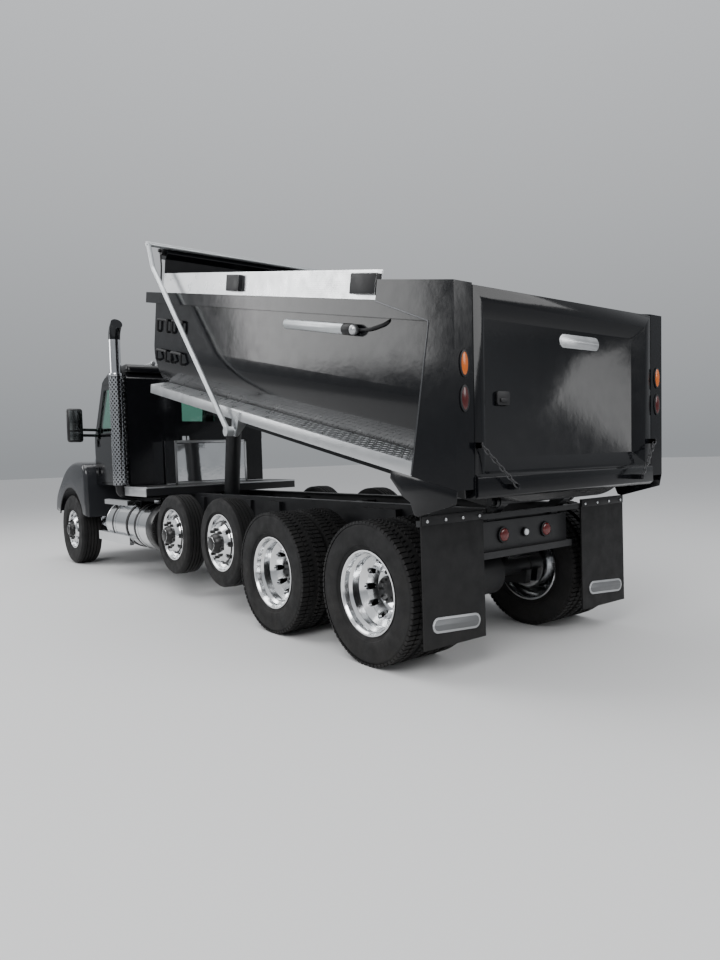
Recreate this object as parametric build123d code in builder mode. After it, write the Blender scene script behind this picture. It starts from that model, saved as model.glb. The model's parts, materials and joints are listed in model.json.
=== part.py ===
import os
from math import atan2, cos, degrees, hypot, radians, sin

from build123d import *

os.makedirs("parts", exist_ok=True)

# Five-axle dump truck. X forward, Y left, Z up, in millimetres, ground at Z = 0.

# Axle places, measured forward from the rearmost axle
rear_axle_x = -3735
tandem_spacing = 1372
rear_pusher_ahead = 2560
pusher_spacing = 1220
steer_ahead = 7560
bumper_ahead = 8560
drive_front_x = rear_axle_x + tandem_spacing
pusher_rear_x = rear_axle_x + rear_pusher_ahead
pusher_front_x = pusher_rear_x + pusher_spacing
steer_x = rear_axle_x + steer_ahead
bumper_x = rear_axle_x + bumper_ahead

# Tyres and rims
drive_tyre_radius = 545
drive_tyre_width = 285
drive_seat_radius = 311
drive_rim_half = 105
dual_spacing = 335
dual_y = 918
pusher_tyre_radius = 465
pusher_tyre_width = 255
steer_tyre_radius = 540
steer_tyre_width = 315
single_seat_radius = 286
pusher_rim_half = 97
steer_rim_half = 115
pusher_y = 1000
steer_y = 1040
pusher_height = 710
flange_height = 12
seat_gap = 0.3
rim_wall = 13
well_depth = 26
disc_wall = 22
hand_holes = 10
hand_hole_radius = 27
drum_radius = 200
hub_radius = 105
spindle_radius = 50
spindle_clearance = 0.05
kingpin_inset = 215
kingpin_radius = 25

# Frame
rail_half = 432
rail_height = 265
rail_top = 1140
rail_flange = 88
rail_wall = 8
rail_rear_x = rear_axle_x - 500
rail_front_x = bumper_x - 230
rail_bottom = rail_top - rail_height
crossmember_height = 150
crossmember_length = 60

# Bed, laid down on the frame: a runs forward from the hinge and b runs up
hinge_x = rear_axle_x - 600
hinge_z = 1200
bed_rest_tilt = 12
bed_wall = 8
bed_half = 1150
bed_round = 720
bed_round_b = 780
bed_front_a = 4860
rail_top_b = 1360
rail_depth = 120
rail_outer_y = 1220
sill_bottom_b = -50
hinge_pin_radius = 30
hinge_eye_radius = 50
post_inner_y = 1055
post_front_a = 90
gate_top_a = -141
gate_top_b = 1240
gate_foot_a = -344
gate_foot_b = 206
gate_depth = 105
gate_half = 1050
gate_above = 255
gate_below = 1120
gate_hinge_up = 190
gate_hinge_in = 85
gate_pin_radius = 20
board_top_b = 1577
board_rear_a = 700
board_front_a = 4640
board_wall = 12
running_front_a = 4750
shield_top_b = 1910
shield_half = 1060

# Hoist
hoist_x = rear_axle_x + 4420
hoist_z = 950
hoist_top_a = 5030
hoist_top_b = 1300
barrel_radius = 100
stage_radii = (85, 71, 57)
stage_gap = 0.5
hoist_closed = 1604
stage_share = 330
hoist_pin_radius = 40
rod_eye_radius = 52
bracket_y = (82, 102)
house_half = 150
house_depth = 490
house_top_b = 1250
house_wall = 10

# Cab and hood
cab_rear_x = rear_axle_x + 5330
cab_front_x = rear_axle_x + 6780
cab_half = 1020
cab_floor = 1255
cab_roof = 2800
cab_wall = 30
door_rear_x = rear_axle_x + 5690
door_front_x = rear_axle_x + 6600
door_bottom = 1290
door_top = 2690
door_wall = 50
door_gap = 5
glass_wall = 6
hood_front_x = rear_axle_x + 8480
hood_hinge_x = rear_axle_x + 8495
hood_hinge_z = 770
hood_pin_radius = 18
hood_ear_y = (540, 560)
arch_radius = 690
fender_outer_y = 1200
fender_inner_y = 720
panel_wall = 12

# Deck, tanks, stack and flaps
deck_rear_x = rear_axle_x + 4560
deck_front_x = rear_axle_x + 5370
deck_top = 1250
deck_half = 1100
deck_plate = 8
deck_beam = 60
hydraulic_x = rear_axle_x + 4950
hydraulic_depth = 340
hydraulic_half = 540
hydraulic_top = 1850
tank_rear_x = rear_axle_x + 4495
tank_front_x = rear_axle_x + 6011
lower_step_x = (rear_axle_x + 5095, rear_axle_x + 6345)
upper_step_x = (rear_axle_x + 5125, rear_axle_x + 6035)
step_outer_y = 1155
tank_radius = 300
tank_y = 850
tank_z = 730
stack_x = rear_axle_x + 5451
stack_y = 1120
stack_radius = 76
stack_shield_radius = 95
flap_x = rear_axle_x - 620
flap_outer_y = 1203
flap_width = 610
flap_top = 1150
flap_bottom = 230
flap_wall = 12
panel_top = 1040
panel_half = 540


def block(x, y, z, mode=Mode.ADD):
    """Add a plain block between the low and high value of each axis."""
    centre = ((x[0] + x[1]) / 2, (y[0] + y[1]) / 2, (z[0] + z[1]) / 2)
    with Locations(centre):
        Box(x[1] - x[0], y[1] - y[0], z[1] - z[0], mode=mode)


def side_plate(points, y, mode=Mode.ADD):
    """Add a plate with this side view (x, z) between the two values of y."""
    with BuildSketch(Plane(origin=(0, y[1], 0), x_dir=(1, 0, 0), z_dir=(0, -1, 0))) as view:
        with BuildLine():
            Polyline(*points, close=True)
        make_face()
    extrude(view.sketch, amount=y[1] - y[0], mode=mode)


def both_sides(points, y, mode=Mode.ADD):
    """Add the same plate on the left and on the right."""
    side_plate(points, y, mode)
    side_plate(points, (-y[1], -y[0]), mode)


def cross_plate(points, x, mode=Mode.ADD):
    """Add a plate with this end view (y, z) between the two values of x."""
    with BuildSketch(Plane.YZ.offset(x[0])) as view:
        with BuildLine():
            Polyline(*points, close=True)
        make_face()
    extrude(view.sketch, amount=x[1] - x[0], mode=mode)


def bar(start, end, radius, mode=Mode.ADD):
    """Add a round bar from one point to another."""
    way = Vector(*end) - Vector(*start)
    with BuildSketch(Plane(origin=start, z_dir=way.normalized())) as section:
        Circle(radius)
    extrude(section.sketch, amount=way.length, mode=mode)


def cross_bar(x, z, y, radius, mode=Mode.ADD):
    """Add a round bar along Y between the two values of y."""
    bar((x, y[0], z), (x, y[1], z), radius, mode)


def turn(points, centre, side, mode=Mode.ADD):
    """Turn a section (outward, radius) about the crosswise axis through the centre."""
    plane = Plane(origin=centre, x_dir=(0, side, 0), z_dir=(side, 0, 0))
    with BuildSketch(plane) as section:
        with BuildLine():
            Polyline(*points, close=True)
        make_face()
    revolve(section.sketch, axis=Axis(centre, (0, 1, 0)), mode=mode)


def write(piece, name, pose=None):
    """Label a finished piece and write it to its own file."""
    if pose is not None:
        piece.part.move(pose)
    piece.part.label = name
    export_step(piece.part, f"parts/{name}.step")


def tyre(centre, side, shift, width, outer, seat, rim_half):
    """Add one tyre: crown, shoulders, bulged walls and straight beads."""
    crown = 0.36 * width
    shoulder = 0.46 * width
    shoulder_radius = outer - 0.075 * width
    bead_top = seat + flange_height + 2
    bulge_radius = (outer + seat) / 2 - 10
    plane = Plane(origin=centre, x_dir=(0, side, 0), z_dir=(side, 0, 0))
    with BuildSketch(plane) as section:
        with BuildLine():
            Line((shift - crown, outer), (shift + crown, outer))
            for way in (-1, 1):
                Line((shift + way * crown, outer), (shift + way * shoulder, shoulder_radius))
                ThreePointArc(
                    (shift + way * shoulder, shoulder_radius),
                    (shift + way * width / 2, bulge_radius),
                    (shift + way * rim_half, bead_top),
                )
                Line((shift + way * rim_half, bead_top), (shift + way * rim_half, seat))
            Line((shift - rim_half, seat), (shift + rim_half, seat))
        make_face()
    revolve(section.sketch, axis=Axis(centre, (0, 1, 0)))


def rim(centre, side, shift, half, seat):
    """Add one rim: flanges, bead seats and a dropped well, as thick as its wall."""
    s = seat - seat_gap
    flange = seat + flange_height
    skin = [
        (half + rim_wall, flange),
        (half + seat_gap, flange),
        (half + seat_gap, s),
        (half - 40, s - 3),
        (half - 58, s - well_depth),
    ]
    outer_edge = [(half + rim_wall, flange - rim_wall)]
    lining = outer_edge + [(t - 3, r - rim_wall) for t, r in skin[2:]]
    outline = skin + [(-t, r) for t, r in reversed(skin)]
    outline = outline + [(-t, r) for t, r in lining] + list(reversed(lining))
    turn([(shift + t, r) for t, r in outline], centre, side)


def disc(centre, side, shift, way, half, seat, face):
    """Add the dished disc from the rim's well to the bolting face."""
    root = seat - seat_gap - well_depth - rim_wall / 2
    inner = [
        (half - 88, root),
        (half - 40, 222),
        (face - disc_wall, 182),
        (face - disc_wall, hub_radius - 10),
        (face, hub_radius - 10),
        (face, 172),
        (half + 12, 212),
        (half - 62, root),
    ]
    turn([(shift + way * t, r) for t, r in inner], centre, side)


def hand_hole_cuts(centre, side, shift, way, half):
    """Cut the ring of round hand holes through a disc."""
    plane = Plane(origin=centre, x_dir=(1, 0, 0), z_dir=(0, side, 0)).offset(shift + way * (half - 110))
    with BuildSketch(plane) as holes:
        with PolarLocations(214, hand_holes):
            Circle(hand_hole_radius)
    extrude(holes.sketch, amount=way * 168, mode=Mode.SUBTRACT)


# Tyres and wheels. Sizes: tyre radius, width and half rim. Wheels: name, x, height, y and sizes
pusher_size = (pusher_tyre_radius, pusher_tyre_width, pusher_rim_half)
steer_size = (steer_tyre_radius, steer_tyre_width, steer_rim_half)
single_wheels = (
    ("pusher_rear", pusher_rear_x, pusher_height, pusher_y, pusher_size),
    ("pusher_front", pusher_front_x, pusher_height, pusher_y, pusher_size),
    ("steer", steer_x, steer_tyre_radius, steer_y, steer_size),
)
dual_wheels = (("drive_rear", rear_axle_x), ("drive_front", drive_front_x))
sides = (("left", 1), ("right", -1))
single_face = 150
single_hub_end = 215
single_drum = (-100, 60)
dual_drum = (-300, -62)
dual_hub_end = 95

for name, x, z, y, (radius, width, half) in single_wheels:
    for side_name, side in sides:
        centre = (x, side * y, z)
        with BuildPart() as tyre_part:
            tyre(centre, side, 0, width, radius, single_seat_radius, half)
        write(tyre_part, f"{name}_tyre_{side_name}")
        with BuildPart() as wheel:
            rim(centre, side, 0, half, single_seat_radius)
            disc(centre, side, 0, 1, half, single_seat_radius, single_face)
            hand_hole_cuts(centre, side, 0, 1, half)
            hub = [
                (single_drum[0], spindle_radius + spindle_clearance),
                (single_drum[0], drum_radius),
                (single_drum[1], drum_radius),
                (single_drum[1], 160),
                (single_face - disc_wall, 160),
                (single_face - disc_wall, hub_radius),
                (single_hub_end - 30, hub_radius - 12),
                (single_hub_end, 70),
                (single_hub_end, 0),
                (20, 0),
                (20, spindle_radius + spindle_clearance),
            ]
            turn(hub, centre, side)
        write(wheel, f"{name}_wheel_{side_name}")

for name, x in dual_wheels:
    for side_name, side in sides:
        centre = (x, side * dual_y, drive_tyre_radius)
        with BuildPart() as tyre_part:
            for shift in (-dual_spacing / 2, dual_spacing / 2):
                sizes = (drive_tyre_width, drive_tyre_radius, drive_seat_radius, drive_rim_half)
                tyre(centre, side, shift, *sizes)
        write(tyre_part, f"{name}_tyre_{side_name}")
        with BuildPart() as wheel:
            for way in (-1, 1):
                shift = way * dual_spacing / 2
                rim(centre, side, shift, drive_rim_half, drive_seat_radius)
                disc(centre, side, shift, -way, drive_rim_half, drive_seat_radius, dual_spacing / 2)
                hand_hole_cuts(centre, side, shift, -way, drive_rim_half)
            hub = [
                (dual_drum[0], spindle_radius + spindle_clearance),
                (dual_drum[0], drum_radius),
                (dual_drum[1], drum_radius),
                (dual_drum[1], 150),
                (disc_wall, 150),
                (disc_wall, hub_radius),
                (dual_hub_end, hub_radius - 15),
                (dual_hub_end, 0),
                (-40, 0),
                (-40, spindle_radius + spindle_clearance),
            ]
            turn(hub, centre, side)
        write(wheel, f"{name}_wheel_{side_name}")

# Frame: two channel rails, crossmembers, the hoist cradle and the bed's hinge brackets
cradle_half = 112
cradle_plate = 25
crossmember_x = [rear_axle_x + step for step in (-440, 686, 1900, 3200, 4100, 4720, 5560)]
with BuildPart() as frame:
    channel = [
        (rail_half, rail_bottom),
        (rail_half, rail_top),
        (rail_half - rail_flange, rail_top),
        (rail_half - rail_flange, rail_top - rail_wall),
        (rail_half - rail_wall, rail_top - rail_wall),
        (rail_half - rail_wall, rail_bottom + rail_wall),
        (rail_half - rail_flange, rail_bottom + rail_wall),
        (rail_half - rail_flange, rail_bottom),
    ]
    cross_plate(channel, (rail_rear_x, rail_front_x))
    cross_plate([(-y, z) for y, z in channel], (rail_rear_x, rail_front_x))
    middle = (rail_top + rail_bottom) / 2
    web = rail_half - rail_wall
    for x in crossmember_x:
        block(
            (x - crossmember_length / 2, x + crossmember_length / 2),
            (-web, web),
            (middle - crossmember_height / 2, middle + crossmember_height / 2),
        )
    block((rail_front_x - 60, rail_front_x), (-web, web), (rail_bottom, rail_bottom + 120))
    cradle = [
        (crossmember_x[4] - 20, middle - 60),
        (crossmember_x[5] + 20, middle - 60),
        (crossmember_x[5] + 20, middle + 40),
        (hoist_x + 60, hoist_z + 60),
        (hoist_x - 60, hoist_z + 60),
        (crossmember_x[4] - 20, middle + 40),
    ]
    both_sides(cradle, (cradle_half, cradle_half + cradle_plate))
    cross_bar(hoist_x, hoist_z, (-200, 200), hoist_pin_radius + spindle_clearance, Mode.SUBTRACT)
    ear = [
        (rail_rear_x + 160, panel_top + 5),
        (rail_rear_x + 160, rail_top - rail_wall),
        (rail_rear_x + 20, rail_top - 4),
        (hinge_x + 46, hinge_z + 18),
        (hinge_x, hinge_z),
        (hinge_x - 46, hinge_z - 18),
        (hinge_x + 30, flap_top - 30),
        (rail_rear_x - 2, panel_top + 5),
    ]
    both_sides(ear, (rail_half - rail_flange - 4, rail_half - rail_wall))
    for side in (1, -1):
        y = sorted((side * (rail_half - rail_flange - 4), side * (rail_half - rail_wall)))
        cross_bar(hinge_x, hinge_z, y, hinge_eye_radius - 2)
    cross_bar(hinge_x, hinge_z, (-500, 500), hinge_pin_radius)
    for x in (cab_rear_x + 60, cab_front_x - 200):
        for side in (1, -1):
            pad = sorted((side * (rail_half - rail_flange), side * rail_half))
            block((x, x + 120), pad, (rail_top, cab_floor))
    hood_bracket = [
        (rail_front_x - 140, rail_bottom + 110),
        (rail_front_x - 140, rail_top - 40),
        (rail_front_x - 20, rail_top - 40),
        (rail_front_x + 50, rail_bottom + 10),
        (hood_hinge_x - 50, hood_hinge_z + 18),
        (hood_hinge_x + 20, hood_hinge_z + 18),
        (hood_hinge_x + 20, hood_hinge_z - 24),
        (hood_hinge_x - 25, hood_hinge_z - 24),
        (rail_front_x - 6, rail_bottom + 5),
        (rail_front_x - 6, rail_bottom + 110),
    ]
    both_sides(hood_bracket, (rail_half, rail_half + 20))
    hood_pin_bore = hood_pin_radius + spindle_clearance
    cross_bar(hood_hinge_x, hood_hinge_z, (-hood_ear_y[0], hood_ear_y[0]), hood_pin_bore, Mode.SUBTRACT)
write(frame, "frame")

# Tandem drive axles with walking beams, hangers, pinion noses and the propeller shafts
axle_tube_radius = 70
axle_tube_end = dual_y + dual_drum[0] - 5
spindle_end = dual_y - 62
bowl_radius = 190
beam_y = (505, 575)
shaft_radius = 50
with BuildPart() as drive_axles:
    for x in (rear_axle_x, drive_front_x):
        centre = (x, 0, drive_tyre_radius)
        housing = [
            (-spindle_end, 0),
            (-spindle_end, spindle_radius),
            (-axle_tube_end, spindle_radius),
            (-axle_tube_end, axle_tube_radius),
            (-220, axle_tube_radius),
            (-130, bowl_radius),
            (130, bowl_radius),
            (220, axle_tube_radius),
            (axle_tube_end, axle_tube_radius),
            (axle_tube_end, spindle_radius),
            (spindle_end, spindle_radius),
            (spindle_end, 0),
        ]
        turn(housing, centre, 1)
        bar((x, 0, drive_tyre_radius + 40), (x + 400, 0, drive_tyre_radius + 75), 85)
    shaft_start = (drive_front_x + 380, 0, drive_tyre_radius + 72)
    bar(shaft_start, (rear_axle_x + 5300, 0, 760), shaft_radius)
    between = (rear_axle_x + 380, 0, drive_tyre_radius + 72)
    bar(between, (drive_front_x - 150, 0, drive_tyre_radius), shaft_radius)
    mid_x = rear_axle_x + tandem_spacing / 2
    beam = [
        (rear_axle_x - 110, drive_tyre_radius - 30),
        (rear_axle_x + 110, drive_tyre_radius - 30),
        (mid_x, drive_tyre_radius + 20),
        (drive_front_x - 110, drive_tyre_radius - 30),
        (drive_front_x + 110, drive_tyre_radius - 30),
        (drive_front_x + 90, drive_tyre_radius - 150),
        (mid_x, drive_tyre_radius - 190),
        (rear_axle_x - 90, drive_tyre_radius - 150),
    ]
    both_sides(beam, beam_y)
    hanger = [
        (mid_x - 90, drive_tyre_radius - 60),
        (mid_x + 90, drive_tyre_radius - 60),
        (mid_x + 230, rail_bottom + 60),
        (mid_x + 230, rail_top - 40),
        (mid_x - 230, rail_top - 40),
        (mid_x - 230, rail_bottom + 60),
    ]
    both_sides(hanger, (rail_half, beam_y[0]))
write(drive_axles, "drive_axles")

# Raised pusher axles: dropped beams, trailing arms, hangers and air springs
beam_radius = 55
beam_drop = 190
arm_y = (470, 550)
with BuildPart() as pusher_axles:
    for x in (pusher_rear_x, pusher_front_x):
        for side in (1, -1):
            z = pusher_height
            inner = pusher_y + single_drum[0] - 5
            bar((x, side * (inner - 60), z), (x, side * (pusher_y + 15), z), spindle_radius)
            bar((x, side * (inner - 90), z), (x, side * inner, z), 75)
            bar((x, side * (inner - 40), z), (x, side * 560, z - beam_drop), beam_radius)
            bar((x, side * 600, z - beam_drop + 8), (x, 0, z - beam_drop), beam_radius)
        arm = [
            (x - 120, pusher_height - beam_drop + 40),
            (x + 520, rail_bottom - 60),
            (x + 560, rail_bottom - 60),
            (x + 560, rail_bottom - 130),
            (x + 80, pusher_height - beam_drop - 75),
            (x - 120, pusher_height - beam_drop - 75),
        ]
        both_sides(arm, arm_y)
        hanger = [
            (x + 480, rail_top - 40),
            (x + 600, rail_top - 40),
            (x + 590, rail_bottom - 140),
            (x + 510, rail_bottom - 140),
        ]
        both_sides(hanger, (rail_half, arm_y[0]))
        for side in (1, -1):
            foot = (x - 60, side * (arm_y[0] + arm_y[1]) / 2, pusher_height - beam_drop + 38)
            head = (x - 60, side * (arm_y[0] + arm_y[1]) / 2, rail_bottom + 120)
            bar(foot, head, 38)
        seat = [
            (x - 160, rail_top - 40),
            (x + 60, rail_top - 40),
            (x + 60, rail_bottom + 60),
            (x - 160, rail_bottom + 60),
        ]
        both_sides(seat, (rail_half, arm_y[0] + 10))
write(pusher_axles, "pusher_axles")

# Front axle: forged beam with kingpin eyes, leaf springs and their hangers
kingpin_y = steer_y - kingpin_inset
eye_half = 50
leaf_y = (rail_half - 45, rail_half + 45)
with BuildPart() as front_axle:
    z = steer_tyre_radius
    beam = [
        (kingpin_y, z + 45),
        (kingpin_y, z - 45),
        (kingpin_y - 90, z - 50),
        (560, z - 150),
        (-560, z - 150),
        (-kingpin_y + 90, z - 50),
        (-kingpin_y, z - 45),
        (-kingpin_y, z + 45),
        (-kingpin_y + 110, z + 35),
        (-600, z - 55),
        (600, z - 55),
        (kingpin_y - 110, z + 35),
    ]
    cross_plate(beam, (steer_x - 42, steer_x + 42))
    for side in (1, -1):
        bar((steer_x, side * kingpin_y, z - eye_half), (steer_x, side * kingpin_y, z + eye_half), 50)
        start = (steer_x, side * kingpin_y, z - eye_half)
        end = (steer_x, side * kingpin_y, z + eye_half)
        bar(start, end, kingpin_radius + spindle_clearance, Mode.SUBTRACT)
    leaf = [
        (steer_x - 720, rail_bottom - 95),
        (steer_x - 300, z + 30),
        (steer_x, z + 15),
        (steer_x + 300, z + 30),
        (steer_x + 720, rail_bottom - 95),
        (steer_x + 720, rail_bottom - 135),
        (steer_x + 300, z - 30),
        (steer_x, z - 56),
        (steer_x - 300, z - 30),
        (steer_x - 720, rail_bottom - 135),
    ]
    both_sides(leaf, leaf_y)
    for x in (steer_x - 700, steer_x + 700):
        hanger = [
            (x - 60, rail_bottom + 90),
            (x + 60, rail_bottom + 90),
            (x + 35, rail_bottom - 150),
            (x - 35, rail_bottom - 150),
        ]
        both_sides(hanger, (rail_half, leaf_y[1] + 12))
write(front_axle, "front_axle")

# Steering knuckles: ears above and below the beam's eye, kingpin and spindle
for side_name, side in sides:
    z = steer_tyre_radius
    pin_y = side * kingpin_y
    with BuildPart() as knuckle:
        bar((steer_x, pin_y, z - eye_half - 45), (steer_x, pin_y, z + eye_half + 45), kingpin_radius)
        for way in (1, -1):
            low, high = sorted((z + way * (eye_half + 3), z + way * (eye_half + 40)))
            bar((steer_x, pin_y, low), (steer_x, pin_y, high), 50)
            ear_y = sorted((pin_y, side * (kingpin_y + 82)))
            block((steer_x - 45, steer_x + 45), ear_y, (low, high))
        plate_y = sorted((side * (kingpin_y + 56), side * (kingpin_y + 84)))
        block((steer_x - 60, steer_x + 60), plate_y, (z - eye_half - 40, z + eye_half + 40))
        bar((steer_x, side * (kingpin_y + 56), z), (steer_x, side * (steer_y + 15), z), spindle_radius)
    write(knuckle, f"knuckle_{side_name}")

# Engine, gearbox and radiator as plain blocks on their real places
with BuildPart() as engine:
    block((rear_axle_x + 6840, rear_axle_x + 7900), (-330, 330), (880, 1650))
    block((rear_axle_x + 5700, rear_axle_x + 6860), (-230, 230), (700, 1180))
    block((rear_axle_x + 6400, rear_axle_x + 6900), (-330, 330), (650, 1180))
    block((rear_axle_x + 7890, rear_axle_x + 8060), (-80, 80), (1150, 1350))
    block((rear_axle_x + 8040, rear_axle_x + 8150), (-335, 335), (900, 1520))
    for x in (rear_axle_x + 7000, rear_axle_x + 7700):
        mount_y = (-rail_half + rail_wall, rail_half - rail_wall)
        block((x, x + 120), mount_y, (rail_bottom + 80, rail_bottom + 180))
write(engine, "engine")

# Front bumper with two tow-pin eyes
bumper_half = 1060
bumper_bottom = 430
bumper_top = 755
tow_y = 330
tow_radius = 22
tow_z = 380
tow_plate = 50
tow_back = 80
with BuildPart() as front_bumper:
    with BuildSketch(Plane.XY.offset(bumper_bottom)) as plan:
        with BuildLine():
            Polyline(
                (bumper_x, 700),
                (bumper_x - 110, bumper_half),
                (bumper_x - 125, bumper_half),
                (bumper_x - 20, 690),
                (bumper_x - 20, -690),
                (bumper_x - 125, -bumper_half),
                (bumper_x - 110, -bumper_half),
                (bumper_x, -700),
                close=True,
            )
        make_face()
    extrude(plan.sketch, amount=bumper_top - bumper_bottom)
    tow_x = bumper_x - tow_back
    arm = [
        (rail_front_x - 220, rail_bottom),
        (rail_front_x - 20, rail_bottom),
        (bumper_x - 10, bumper_top - 120),
        (bumper_x - 10, bumper_bottom + 20),
        (tow_x + 45, tow_z - 45),
        (tow_x - 45, tow_z - 45),
        (rail_front_x - 180, rail_bottom - 180),
    ]
    both_sides(arm, (tow_y - tow_plate / 2, tow_y + tow_plate / 2))
    cross_bar(tow_x, tow_z, (-tow_y - tow_plate, tow_y + tow_plate), tow_radius, Mode.SUBTRACT)
write(front_bumper, "front_bumper")

# Fuel tanks with straps, brackets and two treads a side
strap_x = [tank_rear_x + share * (tank_front_x - tank_rear_x) for share in (0.22, 0.5, 0.78)]
with BuildPart() as fuel_tanks:
    for side in (1, -1):
        axis_y = side * tank_y
        bar((tank_rear_x, axis_y, tank_z), (tank_front_x, axis_y, tank_z), tank_radius)
        for x in strap_x:
            bar((x - 25, axis_y, tank_z), (x + 25, axis_y, tank_z), tank_radius + 6)
            bracket = [(rail_half, rail_top - 60), (rail_half, tank_z - 160), (tank_y - 200, tank_z - 200)]
            bracket = bracket + [(tank_y - 240, tank_z + 100)]
            cross_plate([(side * y, z) for y, z in bracket], (x - 30, x + 30))
        low = sorted((side * (tank_y + tank_radius - 50), side * step_outer_y))
        block(lower_step_x, low, (tank_z - 250, tank_z - 130))
        high = sorted((side * (tank_y + 110), side * step_outer_y))
        block(upper_step_x, high, (tank_z + 270, tank_z + 335))
write(fuel_tanks, "fuel_tanks")

# Deck behind the cab: plate with folded edges
with BuildPart() as deck:
    block((deck_rear_x, deck_front_x), (-deck_half, deck_half), (deck_top - deck_plate, deck_top))
    for y in (deck_half, rail_half):
        for side in (1, -1):
            beam_y_range = sorted((side * (y - deck_beam), side * y))
            block((deck_rear_x, deck_front_x), beam_y_range, (rail_top, deck_top - deck_plate / 2))
    for x in (deck_rear_x, (deck_rear_x + deck_front_x) / 2, deck_front_x - deck_beam):
        block((x, x + deck_beam), (-deck_half, deck_half), (rail_top, deck_top - deck_plate / 2))
write(deck, "deck")

# Hydraulic oil tank with its filler
with BuildPart() as hydraulic_tank:
    hydraulic_span = (hydraulic_x, hydraulic_x + hydraulic_depth)
    block(hydraulic_span, (-hydraulic_half, hydraulic_half), (deck_top, hydraulic_top))
    fillet(hydraulic_tank.edges().filter_by(Axis.Y), 45)
    bar((hydraulic_x + 120, 330, hydraulic_top - 2), (hydraulic_x + 120, 330, hydraulic_top + 60), 55)
write(hydraulic_tank, "hydraulic_tank")

# Cab shell: hollow, with door, windscreen and rear window openings
windscreen_foot = (cab_front_x - 60, 2060)
windscreen_head = (rear_axle_x + 6340, 2740)
cab_view = [
    (cab_rear_x, cab_floor),
    (cab_rear_x, cab_roof - 90),
    (cab_rear_x + 70, cab_roof - 25),
    (cab_rear_x + 260, cab_roof),
    (windscreen_head[0] - 130, cab_roof),
    windscreen_head,
    windscreen_foot,
    (cab_front_x, windscreen_foot[1] - 90),
    (cab_front_x, cab_floor),
]
door_view = [
    (door_rear_x, door_bottom),
    (door_rear_x, door_top),
    (windscreen_head[0] - 30, door_top),
    (door_front_x, windscreen_foot[1] + 60),
    (door_front_x, door_bottom),
]


def side_view(points, inset, y, mode=Mode.ADD):
    """Add a plate with this side view, drawn in by the inset all round."""
    with BuildSketch(Plane(origin=(0, y[1], 0), x_dir=(1, 0, 0), z_dir=(0, -1, 0))) as view:
        with BuildLine():
            Polyline(*points, close=True)
        make_face()
        offset(amount=-inset, kind=Kind.INTERSECTION, mode=Mode.REPLACE)
    extrude(view.sketch, amount=y[1] - y[0], mode=mode)


door_hinge_x = door_front_x + 6
door_hinge_y = cab_half + 14
door_hinge_z = (1450, 1880)
door_knuckle = 12
door_pin = 6
rear_window_half = 250
rear_window_z = (2130, 2520)
with BuildPart() as cab_shell:
    side_plate(cab_view, (-cab_half, cab_half))
    side_view(cab_view, cab_wall, (-cab_half + cab_wall, cab_half - cab_wall), Mode.SUBTRACT)
    side_view(door_view, -door_gap, (-cab_half - 10, cab_half + 10), Mode.SUBTRACT)
    block(
        (cab_rear_x - 10, cab_rear_x + cab_wall + 10),
        (-rear_window_half, rear_window_half),
        rear_window_z,
        Mode.SUBTRACT,
    )
    screen_run = windscreen_head[0] - windscreen_foot[0]
    screen_rise = windscreen_head[1] - windscreen_foot[1]
    rake = hypot(screen_run, screen_rise)
    along = (screen_run / rake, screen_rise / rake)
    screen = Plane(
        origin=(windscreen_foot[0], 0, windscreen_foot[1]),
        x_dir=(0, 1, 0),
        z_dir=(along[1], 0, -along[0]),
    )
    screen_half = cab_half - 90
    with BuildSketch(screen.offset(20)) as opening:
        with Locations((0, rake / 2)):
            Rectangle(2 * screen_half, rake - 110)
    extrude(opening.sketch, amount=-160, mode=Mode.SUBTRACT)
    for z in door_hinge_z:
        for side in (1, -1):
            knuckle_y = side * door_hinge_y
            leaf_y = sorted((side * cab_half, side * (cab_half + 8)))
            bar((door_hinge_x, knuckle_y, z - 30), (door_hinge_x, knuckle_y, z + 30), door_knuckle)
            block((door_hinge_x, door_hinge_x + 70), leaf_y, (z - 30, z + 30))
            pin_bore = door_pin + spindle_clearance
            bar((door_hinge_x, knuckle_y, z - 30), (door_hinge_x, knuckle_y, z + 30), pin_bore, Mode.SUBTRACT)
write(cab_shell, "cab_shell")

# Fixed glass: windscreen and rear window
with BuildPart() as cab_glass:
    with BuildSketch(screen.offset(-12)) as pane:
        with Locations((0, rake / 2)):
            Rectangle(2 * screen_half - 2 * seat_gap, rake - 110 - 2 * seat_gap)
    extrude(pane.sketch, amount=-glass_wall)
    block(
        (cab_rear_x + 14, cab_rear_x + 14 + glass_wall),
        (-rear_window_half + seat_gap, rear_window_half - seat_gap),
        (rear_window_z[0] + seat_gap, rear_window_z[1] - seat_gap),
    )
write(cab_glass, "cab_glass")

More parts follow.
